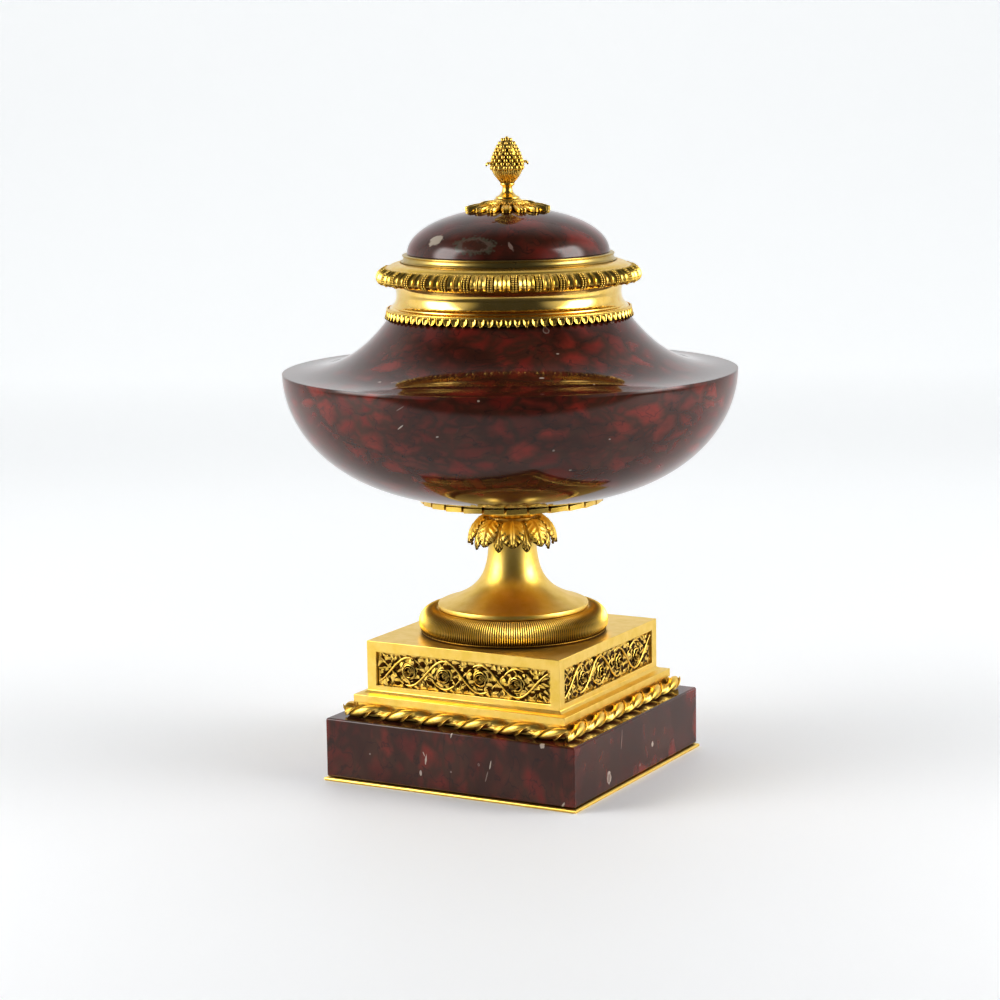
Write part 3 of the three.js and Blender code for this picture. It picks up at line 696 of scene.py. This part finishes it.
def rose_panel():
    """The front plaque: two vines that cross, a rose in each loop, leaves and buds out to its edges."""
    bm = bmesh.new()
    width = PANEL_WIDTH - 2 * SEAT_GAP
    height = PANEL_HEIGHT - 2 * SEAT_GAP
    back = -(SOCLE_HALF - PANEL_DEPTH) - SEAT_GAP
    face = back - 0.7
    middle = PANEL_BASE + PANEL_HEIGHT / 2

    def plate(side, share):
        return Vector((side * width / 2, face, middle + (share - 0.5) * height)) * MM

    ground = sheet(bm, 110, 20, plate)
    bmesh.ops.reverse_faces(bm, faces=list({item for vert in ground for item in vert.link_faces}))
    thicken(bm, ground, 0.7)
    spacing = 0.208 * width
    rise = height / 2 - 1.5
    for side in (-1, 1):
        points = []
        steps = 60
        for i in range(steps + 1):
            x = (i / steps - 0.5) * (width - 3)
            phase = math.pi * (x / spacing + 0.5)
            weave = math.sin(phase) * math.sin(phase * 0.5) * side
            points.append((x, face - 2.1 - 0.6 * weave, middle + side * rise * math.cos(phase)))
        rod(bm, points, [0.75 if 2 < i < steps - 2 else 0.5 for i in range(steps + 1)], sides=8)
        for i in range(2, steps - 1, 3):
            x, out, z = points[i]
            ahead = Vector(points[i + 1]) - Vector(points[i - 1])
            heading = math.atan2(ahead.z, ahead.x)
            spread = (-1 if i % 2 else 1) * math.radians(44 + 12 * ((i * 7) % 5 - 2))
            length = 7.0 - 0.35 * (i % 5)
            for way, turn in ((heading, spread), (heading + math.pi, spread * 1.1)):
                tip = z + length * math.sin(way + turn)
                if abs(tip - middle) < height / 2 + 0.4:
                    leaflet(bm, x, z, face - 1.7, way + turn, length, 4.6, lean=0.7)
    for i in range(4):
        x = (i - 1.5) * spacing
        for k in range(8):
            around = math.radians(45 * k + 17 * i)
            leaflet(bm, x + 4.0 * math.cos(around), middle + 4.0 * math.sin(around), face - 1.2,
                    around + 0.25, 5.6, 4.4, lean=0.4)
        rose(bm, x + (0.5, -0.4, 0.3, -0.5)[i], middle + (0.4, -0.5, 0.5, -0.6)[i], 6.3, 25 * i, face - 1.3)
    for i in range(5):
        x = (i - 2) * spacing
        for side in (-1, 1):
            for k in (-1, 0, 1):
                leaflet(bm, x, middle + side * 2.8, face - 1.4, side * math.radians(90) + 0.62 * k, 7.4, 4.2,
                        lean=0.7)
            for across, lift, up, radius in ((3.4, 1.5, 8.0, 1.2), (-3.2, 1.3, 8.4, 1.0)):
                ball(bm, (x + across * side, face - lift, middle + side * up), radius, squash=(1, 0.9, 1.2),
                     around=6, rows=5)
    for i in range(4):
        x = (i - 1.5) * spacing
        for side in (-1, 1):
            for k in (-1, 1):
                heading = (0.35 if k > 0 else math.pi - 0.35) * side
                leaflet(bm, x + 1.2 * k, middle + side * (rise - 0.4), face - 1.4, heading, 6.4, 3.8,
                        lean=0.5)
    for end in (-1, 1):
        x = end * (width / 2 - 8)
        for k in range(-2, 3):
            heading = (0 if end > 0 else math.pi) + 0.42 * k * end
            leaflet(bm, x, middle + 2.4 * k, face - 1.3, heading, 7.4, 4.2, lean=0.6)
    for way, edge in (((1, 0, 0), width / 2), ((-1, 0, 0), width / 2), ((0, 0, 1), middle + height / 2),
                      ((0, 0, -1), height / 2 - middle)):
        geom = bm.verts[:] + bm.edges[:] + bm.faces[:]
        bmesh.ops.bisect_plane(bm, geom=geom, plane_co=Vector(way) * edge * MM, plane_no=way,
                               clear_outer=True)
        bmesh.ops.holes_fill(bm, edges=[item for item in bm.edges if item.is_boundary])
    return bm


def four_sides(label, node, bm, material, smooth, painted_shade_reach, bottom=None):
    """Keeps the front piece and its three copies, each turned by a quarter."""
    mesh = mesh_of(label, bm)
    hollows(mesh, painted_shade_reach, bottom)
    for turn, side in enumerate(("front", "right", "back", "left")):
        copy = mesh.copy()
        copy.transform(Matrix.Rotation(TURN * turn / 4, 4, "Z"))
        dressed(f"{label}_{side}", copy, f"{node}_{side}", material, smooth)


four_sides("twisted_ribbon", "ribbon", ribbon_side(), scrolled_gilding, 50, 2.4)
# The panel's ground behind the relief counts as deep, so it gets painted shade.
four_sides("rose_scroll", "rose_panel", rose_panel(), scrolled_gilding, 50, 2.5,
           bottom=PANEL_DEPTH - SOCLE_HALF - 1.1)


# Foot

def arc_points(middle, height, radius, start, end, steps):
    points = []
    for i in range(steps + 1):
        angle = math.radians(start + (end - start) * i / steps)
        points.append((middle + radius * math.cos(angle), height + radius * math.sin(angle)))
    return points


def ribbed_ring():
    arc = arc_points(TORUS_MIDDLE, TORUS_HEIGHT, TORUS_RADIUS, -35.9, 111.7, 13)
    points = [(0, FOOT_BASE), (60.6, FOOT_BASE), (60.6, FOOT_BASE + 1.2)] + arc + [(0, arc[-1][1])]

    def ribs(share, row):
        if row < 4 or row > len(points) - 3:
            return 0
        return abs(math.sin(math.pi * share)) ** 0.9 - 1

    return carved_shape(points, RIB_COUNT, 4, ribs, closed=False)


def stem_width(height):
    return STEM_RADIUS + (DISC_RADIUS - STEM_RADIUS) * math.exp(-max(0, height - DISC_TOP) / FLARE_LENGTH)


def plain_stem():
    flare = [(stem_width(DISC_TOP + rise), DISC_TOP + rise) for rise in (
        0.5, 1, 1.6, 2.3, 3.1, 4, 5, 6.2, 7.6, 9.2, 11, 13, 15.5, 18.5, 22, 26, 31, 38, 46)]
    disc = [(0, DISC_BASE), (DISC_RADIUS - 0.5, DISC_BASE), (DISC_RADIUS, DISC_BASE + 0.5),
            (DISC_RADIUS, DISC_TOP - 0.7), (DISC_RADIUS - 0.25, DISC_TOP - 0.2),
            (DISC_RADIUS - 0.8, DISC_TOP)]
    return turned_shape(disc + flare + [(STEM_RADIUS, STEM_TOP), (0, STEM_TOP)], 128, closed=False)


def curve_through(points, share):
    """A smooth curve through section points, read at a share of its length."""
    place = share * (len(points) - 1)
    i = min(int(place), len(points) - 2)
    t = place - i
    a, b, c, d = (points[max(0, min(len(points) - 1, k))] for k in (i - 1, i, i + 1, i + 2))
    return tuple(0.5 * (2 * b[k] + (c[k] - a[k]) * t + (2 * a[k] - 5 * b[k] + 4 * c[k] - d[k]) * t * t
                        + (3 * b[k] - a[k] - 3 * c[k] + d[k]) * t ** 3) for k in (0, 1))


def leaf_collar():
    """Nine broad leaves and nine narrow ones that rise round the stem, curl over and hang free."""
    bm = bmesh.new()
    broad = raised(COLLAR_TOP, [
        (15.6, -4.76), (16.6, -1.66), (19.2, -0.36), (22.2, -1.26), (25.0, -3.86), (27.2, -7.26),
        (28.5, -10.86), (29.0, -14.06), (29.0, -16.46)])
    narrow = raised(COLLAR_TOP, [
        (15.6, -6.26), (16.8, -3.06), (19.6, -2.06), (22.4, -3.66), (24.6, -6.86), (26.2, -10.66),
        (27.0, -14.46), (27.2, -17.46), (27.1, -19.46)])

    def leaf(line, heading, wide, lobes, depth):
        def blade(side, share):
            radius, height = curve_through(line, share)
            ahead = curve_through(line, min(1, share + 0.02))
            behind = curve_through(line, max(0, share - 0.02))
            out = Vector((behind[1] - ahead[1], ahead[0] - behind[0])).normalized()
            tooth = (lobes * share + 0.3) % 1
            half = wide * (0.6 + 0.4 * math.sin(math.pi * min(1, share * 1.3) * 0.75)) * (0.86 + 0.14 * tooth)
            if share > 0.66:
                half *= max(0.08, 1 - ((share - 0.66) / 0.36) ** 2)
            vein = math.cos(TURN * (lobes * (share - 0.2 * abs(side)) + 0.4))
            lift = depth * (0.7 * vein * min(1, 2.5 * abs(side)) * min(1, 3 * share) - 1.2 * side * side)
            lift += depth * math.exp(-(side / 0.12) ** 2)
            lift -= 0.9 * depth * math.exp(-((abs(side) - 0.22) / 0.08) ** 2)
            return at(heading + half * side, radius + out.x * lift, height + out.y * lift)

        thicken(bm, sheet(bm, 17, 30, blade), 0.55)

    leaf(broad, COLLAR_TURN, 18.0, 8, 0.7)
    leaf(narrow, COLLAR_TURN + 180 / COLLAR_LEAVES, 9.5, 8, 0.55)
    repeat_around(bm, COLLAR_LEAVES)
    return bm


def flat_leaf_disc():
    """Square-ended leaves with slits between them, bent up towards the bowl, on a domed hub."""
    bm = bmesh.new()
    pitch = 360 / LEAF_DISC_LEAVES
    top = LEAF_DISC_BASE + 1.6
    inner = 14

    def reach(share):
        return inner + (LEAF_DISC_RADIUS - inner) * share

    def bend(share):
        return 3.2 * max(0, (share - 0.45) / 0.55) ** 1.6

    def blade(side, share):
        half = pitch * (0.499 if share < 0.6 else 0.445)
        rib = 0.2 * math.exp(-(side / 0.2) ** 2) * min(1, 4 * (1 - share) + 0.3)
        height = top + bend(share) + rib + 0.3 * side * (share > 0.6)
        return at(LEAF_DISC_TURN + pitch / 2 + half * side, reach(share), height)

    for vert in backed(bm, sheet(bm, 6, 14, blade)):
        share = (vert.co.xy.length / MM - inner) / (LEAF_DISC_RADIUS - inner)
        vert.co.z -= (1.6 + 1.5 * max(0, (share - 0.5) / 0.5)) * MM
    repeat_around(bm, LEAF_DISC_LEAVES)
    hub = [(0, -8.3), (18.2, -8.3), (19.6, -7.36), (20.7, -5.16), (21.2, -3.16), (22.6, -1.16), (24.5, 0.74),
           (0, 0.74)]
    spun(bm, raised(LEAF_DISC_BASE, hub), False, 72)
    weld(bm)
    return bm


# The socle top under the ring counts as closing its hollows, which paints shade where the ring sits.
finished("ribbed_foot_ring", ribbed_ring(), "foot_ring", ribbed_gilding, 70, 1.2,
         seat=FOOT_BASE - SEAT_GAP)
finished("flared_stem", plain_stem(), "foot_stem", satin_gilding, 35)
finished("acanthus_leaves", leaf_collar(), "acanthus_collar", scrolled_gilding, 60, 1.5)
finished("leaf_rosette_under_bowl", flat_leaf_disc(), "leaf_disc", carved_gilding, 35, 4)


# Bowl

def bowl_width(radius, depth, below):
    return radius * (1 - min(1, max(0, below / depth)) ** 1.95) ** (1 / 2.7)


def shoulder_rise(radius, inner, outer, height):
    return height * ((outer - radius) / (outer - inner)) ** 2.7


def marble_bowl():
    foot = 30
    floor = BODY_BASE + 12
    points = [(0, BODY_BASE), (foot, BODY_BASE)]
    for i in range(44, 0, -1):
        share = math.sin(math.pi / 2 * i / 45)
        width = bowl_width(RIM_RADIUS, BOWL_DEPTH, share * BOWL_DEPTH)
        if width > foot + 1:
            points.append((width, RIM_HEIGHT - share * BOWL_DEPTH))
    points += [(RIM_RADIUS, RIM_HEIGHT - 0.5), (RIM_RADIUS - 0.15, RIM_HEIGHT - 0.1),
               (RIM_RADIUS - 0.5, RIM_HEIGHT)]
    for i in range(1, 41):
        radius = RIM_RADIUS + (NECK_RADIUS - RIM_RADIUS) * i / 40
        points.append((radius, RIM_HEIGHT + shoulder_rise(radius, NECK_RADIUS, RIM_RADIUS, SHOULDER_HEIGHT)))
    points.append((MOUTH_RADIUS, RIM_HEIGHT + SHOULDER_HEIGHT))
    inner = RIM_RADIUS - MARBLE_WALL
    inner_rim = RIM_HEIGHT - MARBLE_WALL
    inner_depth = inner_rim - floor
    inner_shoulder = SHOULDER_HEIGHT + MARBLE_WALL
    for i in range(19, -1, -1):
        radius = inner + (MOUTH_RADIUS - inner) * i / 20
        points.append((radius, inner_rim + shoulder_rise(radius, MOUTH_RADIUS, inner, inner_shoulder)))
    for i in range(1, 20):
        share = math.sin(math.pi / 2 * i / 20)
        points.append((bowl_width(inner, inner_depth, share * inner_depth), inner_rim - share * inner_depth))
    points.append((0, floor))
    return turned_shape(points, 224, closed=False)


def hanging_leaves():
    """A ring of small pointed leaves with raised rims and hollow middles, under a plain band."""
    bm = bmesh.new()
    pitch = 360 / BORDER_LEAVES
    top = NECK_BASE + 5.8

    def leaf(side, share):
        narrow = max(0, 1 - (max(0, share - 0.5) / 0.5) ** 1.9)
        half = pitch * 0.495 * (0.03 + 0.97 * narrow ** 0.8)
        rim = math.exp(-((abs(side) - 0.72) / 0.2) ** 2) * min(1, share * 2.6)
        tip = math.exp(-((share - 0.93) / 0.12) ** 2)
        hollow = math.exp(-(side / 0.45) ** 2) * math.sin(math.pi * min(1, share * 1.15)) ** 2
        out = 1.0 + 0.75 * share + 0.6 * rim + 0.4 * tip - 0.75 * hollow - 0.7 * (abs(side) > 0.97)
        return at(BORDER_TURN + half * side, NECK_RADIUS + out, top - 0.4 - 5.7 * share)

    thicken(bm, sheet(bm, 11, 9, leaf), 0.6)
    repeat_around(bm, BORDER_LEAVES)
    band = [(NECK_RADIUS + out, top + height) for out, height in (
        (0.3, -2.4), (0.9, -2.4), (1.3, -1.0), (1.5, -0.5), (1.2, 0), (0.3, 0))]
    spun(bm, band, True, 2 * BORDER_LEAVES)
    weld(bm)
    return bm


def hollow_neck():
    points = raised(NECK_BASE, [
        (MOUTH_RADIUS, 0), (77.5, 0), (77.5, 4.34), (77.2, 5.44), (76.4, 6.34), (75.4, 6.74), (75.3, 7.44),
        (74.4, 8.24), (73.4, 9.74), (72.7, 11.74), (72.4, 13.94), (72.5, 16.14), (72.9, 18.14),
        (73.8, 20.14), (74.6, 21.14), (74.6, 21.5), (MOUTH_RADIUS, 21.5)])
    return turned_shape(points, 160)


def gadrooned_lip():
    """Repeats of a column of beads and two hollow tongues, under a plain sloping ring."""
    start = 3
    stop = 14
    section = raised(GADROON_BASE, [
        (MOUTH_RADIUS, 0), (76.0, 0), (79.0, 0), (81.2, 0.04), (83.0, 0.24), (84.2, 1.14), (84.9, 2.44),
        (GADROON_OUTER, 3.84), (84.9, 5.14), (84.3, 6.44), (83.3, 7.64), (82.0, 8.64), (80.8, 9.34),
        (79.6, 9.74), (78.6, 9.94), (77.8, 9.94), (77.3, 10.64), (75.2, 11.84), (72.6, 12.74), (70.4, 13.24),
        (69.8, 13.14), (69.7, 12.5), (MOUTH_RADIUS, 12.5)])

    def carve(share, row):
        if row <= start or row >= stop:
            return 0
        ease = min(1, (row - start) / 1.2, (stop - row) / 1.6)
        beside = min(share, 1 - share)
        if beside < 0.12:
            return -1.1 * ease
        if beside < 0.15:
            return -2.3 * ease
        lobe = (share - 0.15) / 0.7 * 2 % 1
        edge = min(lobe, 1 - lobe)
        if edge < 0.06:
            return -2.3 * ease
        rim = math.exp(-((edge - 0.15) / 0.06) ** 2)
        hollow = math.exp(-((edge - 0.5) / 0.2) ** 2)
        return (0.35 * rim - 0.85 * hollow - 0.05) * ease

    bm = carved_shape(section, GADROON_GROUPS, 40, carve)
    column = bmesh.new()
    for row in range(start + 1, stop - 1):
        radius, height = section[row]
        for side in (-1, 1):
            ball(column, at(side * 0.68, radius - 0.35, height) / MM, 0.84, squash=(1, 0.9, 0.92),
                 around=6, rows=5)
    repeat_around(column, GADROON_GROUPS)
    join_into(bm, column)
    return bm


finished("marble_bowl", marble_bowl(), "vase_body", body_marble, 35)
finished("hanging_leaf_border", hanging_leaves(), "leaf_border", carved_gilding, 60, 3)
finished("hollow_neck", hollow_neck(), "neck_mount", mirror_gilding, 30)
finished("gadrooned_lip", gadrooned_lip(), "gadroon_rim", carved_gilding, 60, 1.8)


# Lid

def dome_height(radius, spread=DOME_RADIUS, height=DOME_HEIGHT):
    return DOME_BASE + height * math.sqrt(max(0, 1 - (radius / spread) ** 2))


def turned_lid_ring():
    points = raised(LID_SEAT, [
        (60.9, -6), (65.9, -6), (65.9, 0), (68.7, 0), (69.2, 0.34), (69.3, 0.84), (69.0, 1.24), (68.3, 1.34),
        (67.8, 1.94), (67.5, 2.84), (67.4, 3.74), (67.5, 4.04), (68.0, 4.24), (68.2, 4.64), (68.0, 5.04),
        (67.3, 5.4), (60.9, 5.4)])
    return turned_shape(points, 160)


def marble_dome():
    points = [(0, DOME_BASE + DOME_HEIGHT - MARBLE_WALL)]
    inner = DOME_RADIUS - MARBLE_WALL
    for i in range(1, 17):
        radius = inner * math.sin(math.pi / 2 * i / 16)
        points.append((radius, dome_height(radius, inner, DOME_HEIGHT - MARBLE_WALL)))
    for i in range(30, -1, -1):
        radius = DOME_RADIUS * math.sin(math.pi / 2 * i / 30)
        points.append((radius, dome_height(radius)))
    return turned_shape(points, 160, closed=False)


def dome_leaves(first, far, thick):
    """A ring of thick leaves that lie on the dome."""
    bm = bmesh.new()
    pitch = 360 / ROSETTE_LEAVES
    near = 5

    def blade(side, share):
        lobes = 0.8 * math.cos(TURN * 1.5 * side) * share ** 6
        radius = near + (far - 0.8 - near) * share + lobes
        half = pitch * 0.5 * (0.86 - 0.12 * share) * (1 - 0.2 * max(0, share - 0.88) / 0.12)
        crown = 1.1 * math.exp(-(side / 0.2) ** 2) + 0.8 * math.exp(-((abs(side) - 0.7) / 0.18) ** 2)
        crown -= 0.9 + 0.5 * max(0, share - 0.85) / 0.15
        height = dome_height(radius) + thick + crown * min(1, 0.4 + share)
        return at(ROSETTE_TURN + first + half * side, radius, height)

    for vert in backed(bm, sheet(bm, 13, 7, blade)):
        vert.co.z = (dome_height(vert.co.xy.length / MM) + SEAT_GAP) * MM
    repeat_around(bm, ROSETTE_LEAVES)
    return bm


def dome_rosette():
    """A lower ring of leaves, an upper one between them, and a turned boss under the finial."""
    bm = dome_leaves(0, ROSETTE_RADIUS, 3.6)
    join_into(bm, dome_leaves(180 / ROSETTE_LEAVES, 17.5, 4.6))
    boss = [(0, 0.34), (9.2, -0.26), (9.6, 3.14), (8.9, 4.74), (8.2, 5.44), (0, 5.5)]
    spun(bm, raised(DOME_BASE + DOME_HEIGHT, boss), False, 48)
    weld(bm)
    return bm


def berried_finial():
    """A turned foot, a calyx of ribbed leaves, a bud of berries and two small curled stems."""
    bm = bmesh.new()
    foot = raised(FINIAL_BASE, [
        (0, 0), (7.8, 0), (7.8, 0.64), (7.2, 1.04), (6.2, 1.44), (4.9, 2.34), (3.9, 3.54), (3.3, 4.94),
        (3.1, 6.34), (3.3, 7.34), (3.6, 7.74), (4.5, 8.14), (4.7, 8.84), (4.4, 9.54), (3.8, 9.84),
        (4.6, 10.94), (6.6, 13.54), (8.2, 16.34), (9.0, 19.14), (9.3, 21.54), (9.0, 24.94), (7.9, 29.34),
        (5.8, 33.74), (3.2, 36.74), (0, 37.94)])
    spun(bm, foot, False, 48)
    rows = 9
    for row in range(rows):
        share = row / (rows - 1)
        height = FINIAL_BASE + 19.34 + 17.4 * share
        upper = max(0, (height - FINIAL_BASE - 20) / 19.2)
        width = BUD_RADIUS * (1 - upper ** 1.7) ** 0.65 - 1.3
        count = max(4, round(TURN * width / 3.5))
        for i in range(count):
            angle = 360 * (i + 0.5 * (row % 2)) / count
            ball(bm, at(angle, width + 0.35, height) / MM, 1.5 - 0.35 * share, squash=(1, 1, 1.2))
    ball(bm, (0, 0, FINIAL_BASE + 37.64), 1.45)
    calyx = bmesh.new()
    line = raised(FINIAL_BASE, [
        (4.2, 10.14), (6.2, 12.54), (8.3, 15.34), (9.6, 18.14), (10.3, 20.54), (10.9, 21.94)])
    for first, low in ((0, 0), (18, 1.6)):

        def leaf(side, share):
            radius, height = curve_through(line, share)
            half = 17 * math.sqrt(max(0.02, math.sin(math.pi * (0.3 + 0.68 * share))))
            ridge = 0.5 * math.cos(TURN * 1.5 * side) - 0.3 * side * side
            return at(first + half * side, radius + ridge - low * 0.25, height - low * share)

        thicken(calyx, sheet(calyx, 9, 8, leaf), 0.5)
    repeat_around(calyx, 10)
    join_into(bm, calyx)
    for heading, height in ((144, FINIAL_BASE + 22.54), (324, FINIAL_BASE + 22.14)):
        stem = [at(heading, radius, height + lift) / MM for radius, lift in
                ((9.4, -0.6), (11.0, 0.0), (12.6, 0.3), (13.8, 0.3))]
        rod(bm, stem, [1.0, 0.9, 0.8, 0.9])

        def curl(side, share):
            radius = 12.2 + 2.9 * math.sin(min(1, share * 1.1) * math.pi / 2)
            drop = 0.9 - 1.8 * share ** 2
            half = 8.5 * math.sin(math.pi * (0.18 + 0.78 * share))
            return at(heading + half * side, radius - 0.4 * side * side, height + drop - 0.5 * side * side)

        thicken(bm, sheet(bm, 6, 6, curl), 0.5)
    weld(bm)
    return bm


finished("turned_lid_ring", turned_lid_ring(), "lid_ring", lid_brass, 30)
finished("marble_dome", marble_dome(), "lid_dome", lid_marble, 35)
finished("leaf_rosette_on_dome", dome_rosette(), "lid_rosette", carved_gilding, 60, 3)
finished("berried_finial", berried_finial(), "finial", carved_gilding, 60, 2)


# Studio

def studio_paper():
    """Pale paper that is darker in front of the picture and glows a little towards the wall."""
    material, tree, shader = blank("studio paper")
    here = add(tree, "ShaderNodeTexCoord").outputs["Object"]
    ahead = reach_along(tree, here, CAMERA_SIDE)
    pale = blend(tree, noise(tree, here, 3.0, 2.0), (0.84, 0.845, 0.85, 1), (0.86, 0.862, 0.865, 1))
    edge = fade(tree, ahead, 0.5, 0.68)
    glow = fade(tree, ahead, 0.3, -1.2, 0.07, 0.39)
    glow = calc(tree, "ADD", glow, fade(tree, ahead, -1.2, -3.0, 0.0, 0.145))
    glow = calc(tree, "MULTIPLY", glow, fade(tree, ahead, 0.68, 0.5))
    feed(tree, shader, {
        "Base Color": blend(tree, edge, pale, (0.11, 0.11, 0.11, 1)),
        "Emission Color": blend(tree, glow, (0, 0, 0, 1), (0.97, 0.99, 1.0, 1)),
        "Emission Strength": 1.0, "Roughness": 0.55, "Specular IOR Level": 0.2})
    return material


def sweep():
    """A paper sweep: a floor that curves up into a wall behind the vase."""
    bm = bmesh.new()
    depth = [(-3.2, 0)] + [(2.2 + 1.2 * math.sin(a), 1.2 - 1.2 * math.cos(a))
                           for a in (math.pi / 2 * i / 16 for i in range(17))] + [(3.4, 3.4)]
    turn = Matrix.Rotation(math.radians(CAMERA_SIDE), 3, "Z")
    verts = [bm.verts.new(turn @ Vector((-4.5, back, height))) for back, height in depth]
    edges = [bm.edges.new(pair) for pair in zip(verts, verts[1:])]
    grown = bmesh.ops.extrude_edge_only(bm, edges=edges)["geom"]
    bmesh.ops.translate(bm, vec=turn @ Vector((9, 0, 0)), verts=points_among(grown))
    mesh = mesh_of("paper sweep", bm)
    for polygon in mesh.polygons:
        polygon.use_smooth = True
    mesh.materials.append(studio_paper())
    piece = bpy.data.objects.new("paper_sweep", mesh)
    scene.collection.objects.link(piece)


def seen_from(side, rise):
    """The direction from the middle to a viewer, in degrees from the front and above the level."""
    heading = math.radians(side)
    level = math.radians(rise)
    flat = math.cos(level)
    return Vector((math.sin(heading) * flat, -math.cos(heading) * flat, math.sin(level)))


def soft_box(name, side, rise, distance, width, height, watts, aim=220):
    """A softbox whose light fades out towards its edges."""
    data = bpy.data.lights.new(name, "AREA")
    data.shape = "RECTANGLE"
    data.size = width
    data.size_y = height
    data.energy = watts
    data.use_nodes = True
    tree = data.node_tree
    panel = add(tree, "ShaderNodeNewGeometry").outputs["Parametric"]
    spot = add(tree, "ShaderNodeSeparateXYZ", {0: panel}).outputs
    middle = [calc(tree, "ABSOLUTE", calc(tree, "MULTIPLY_ADD", spot[axis], 2.0, -1.0)) for axis in (0, 1)]
    soft = calc(tree, "MULTIPLY", fade(tree, middle[0], 1.0, 0.35), fade(tree, middle[1], 1.0, 0.45))
    feed(tree, tree.nodes["Emission"], {"Strength": calc(tree, "MULTIPLY", soft, soft)})
    lamp = bpy.data.objects.new(name, data)
    back = seen_from(CAMERA_SIDE + side, rise)
    lamp.location = Vector((0, 0, aim * MM)) + back * distance
    lamp.rotation_euler = back.to_track_quat("Z", "Y").to_euler()
    scene.collection.objects.link(lamp)


def room():
    """Room light: white behind, and darker above and where the camera stands."""
    world = bpy.data.worlds.new("studio room")
    scene.world = world
    world.use_nodes = True
    tree = world.node_tree
    way = add(tree, "ShaderNodeTexCoord").outputs["Generated"]
    across = calc(tree, "ABSOLUTE", reach_along(tree, way, CAMERA_SIDE + 90))
    beside = fade(tree, across, 0.4, 0.92, 0.0, 1.1)
    behind = fade(tree, reach_along(tree, way, CAMERA_SIDE), -0.8, -0.02, 1.0, 0.075)
    feed(tree, tree.nodes["Background"],
         {"Strength": calc(tree, "MAXIMUM", behind, beside), "Color": (0.98, 0.99, 1.0, 1)})


sweep()
soft_box("left softbox", -76, 22, 1.3, 1.15, 1.4, 32)
soft_box("right softbox", 76, 22, 1.3, 1.15, 1.4, 32)
room()
scene.view_settings.view_transform = "Standard"
scene.view_settings.gamma = 0.84

back = seen_from(CAMERA_SIDE, CAMERA_RISE)
right = seen_from(CAMERA_SIDE + 90, 0)
up = back.cross(right)
roll = math.radians(CAMERA_ROLL)
rolled_right = math.cos(roll) * right + math.sin(roll) * up
rolled_up = -math.sin(roll) * right + math.cos(roll) * up
target = (Vector((0, 0, AIM_HEIGHT)) + right * AIM_ACROSS) * MM
camera_data = bpy.data.cameras.new("camera")
camera_data.lens = LENS
camera_data.sensor_width = SENSOR
camera = bpy.data.objects.new("camera", camera_data)
camera.matrix_world = Matrix.Translation(target + back * CAMERA_DISTANCE * MM) @ Matrix(
    (rolled_right, rolled_up, back)).transposed().to_4x4()
scene.collection.objects.link(camera)
scene.camera = camera

bpy.context.view_layer.update()
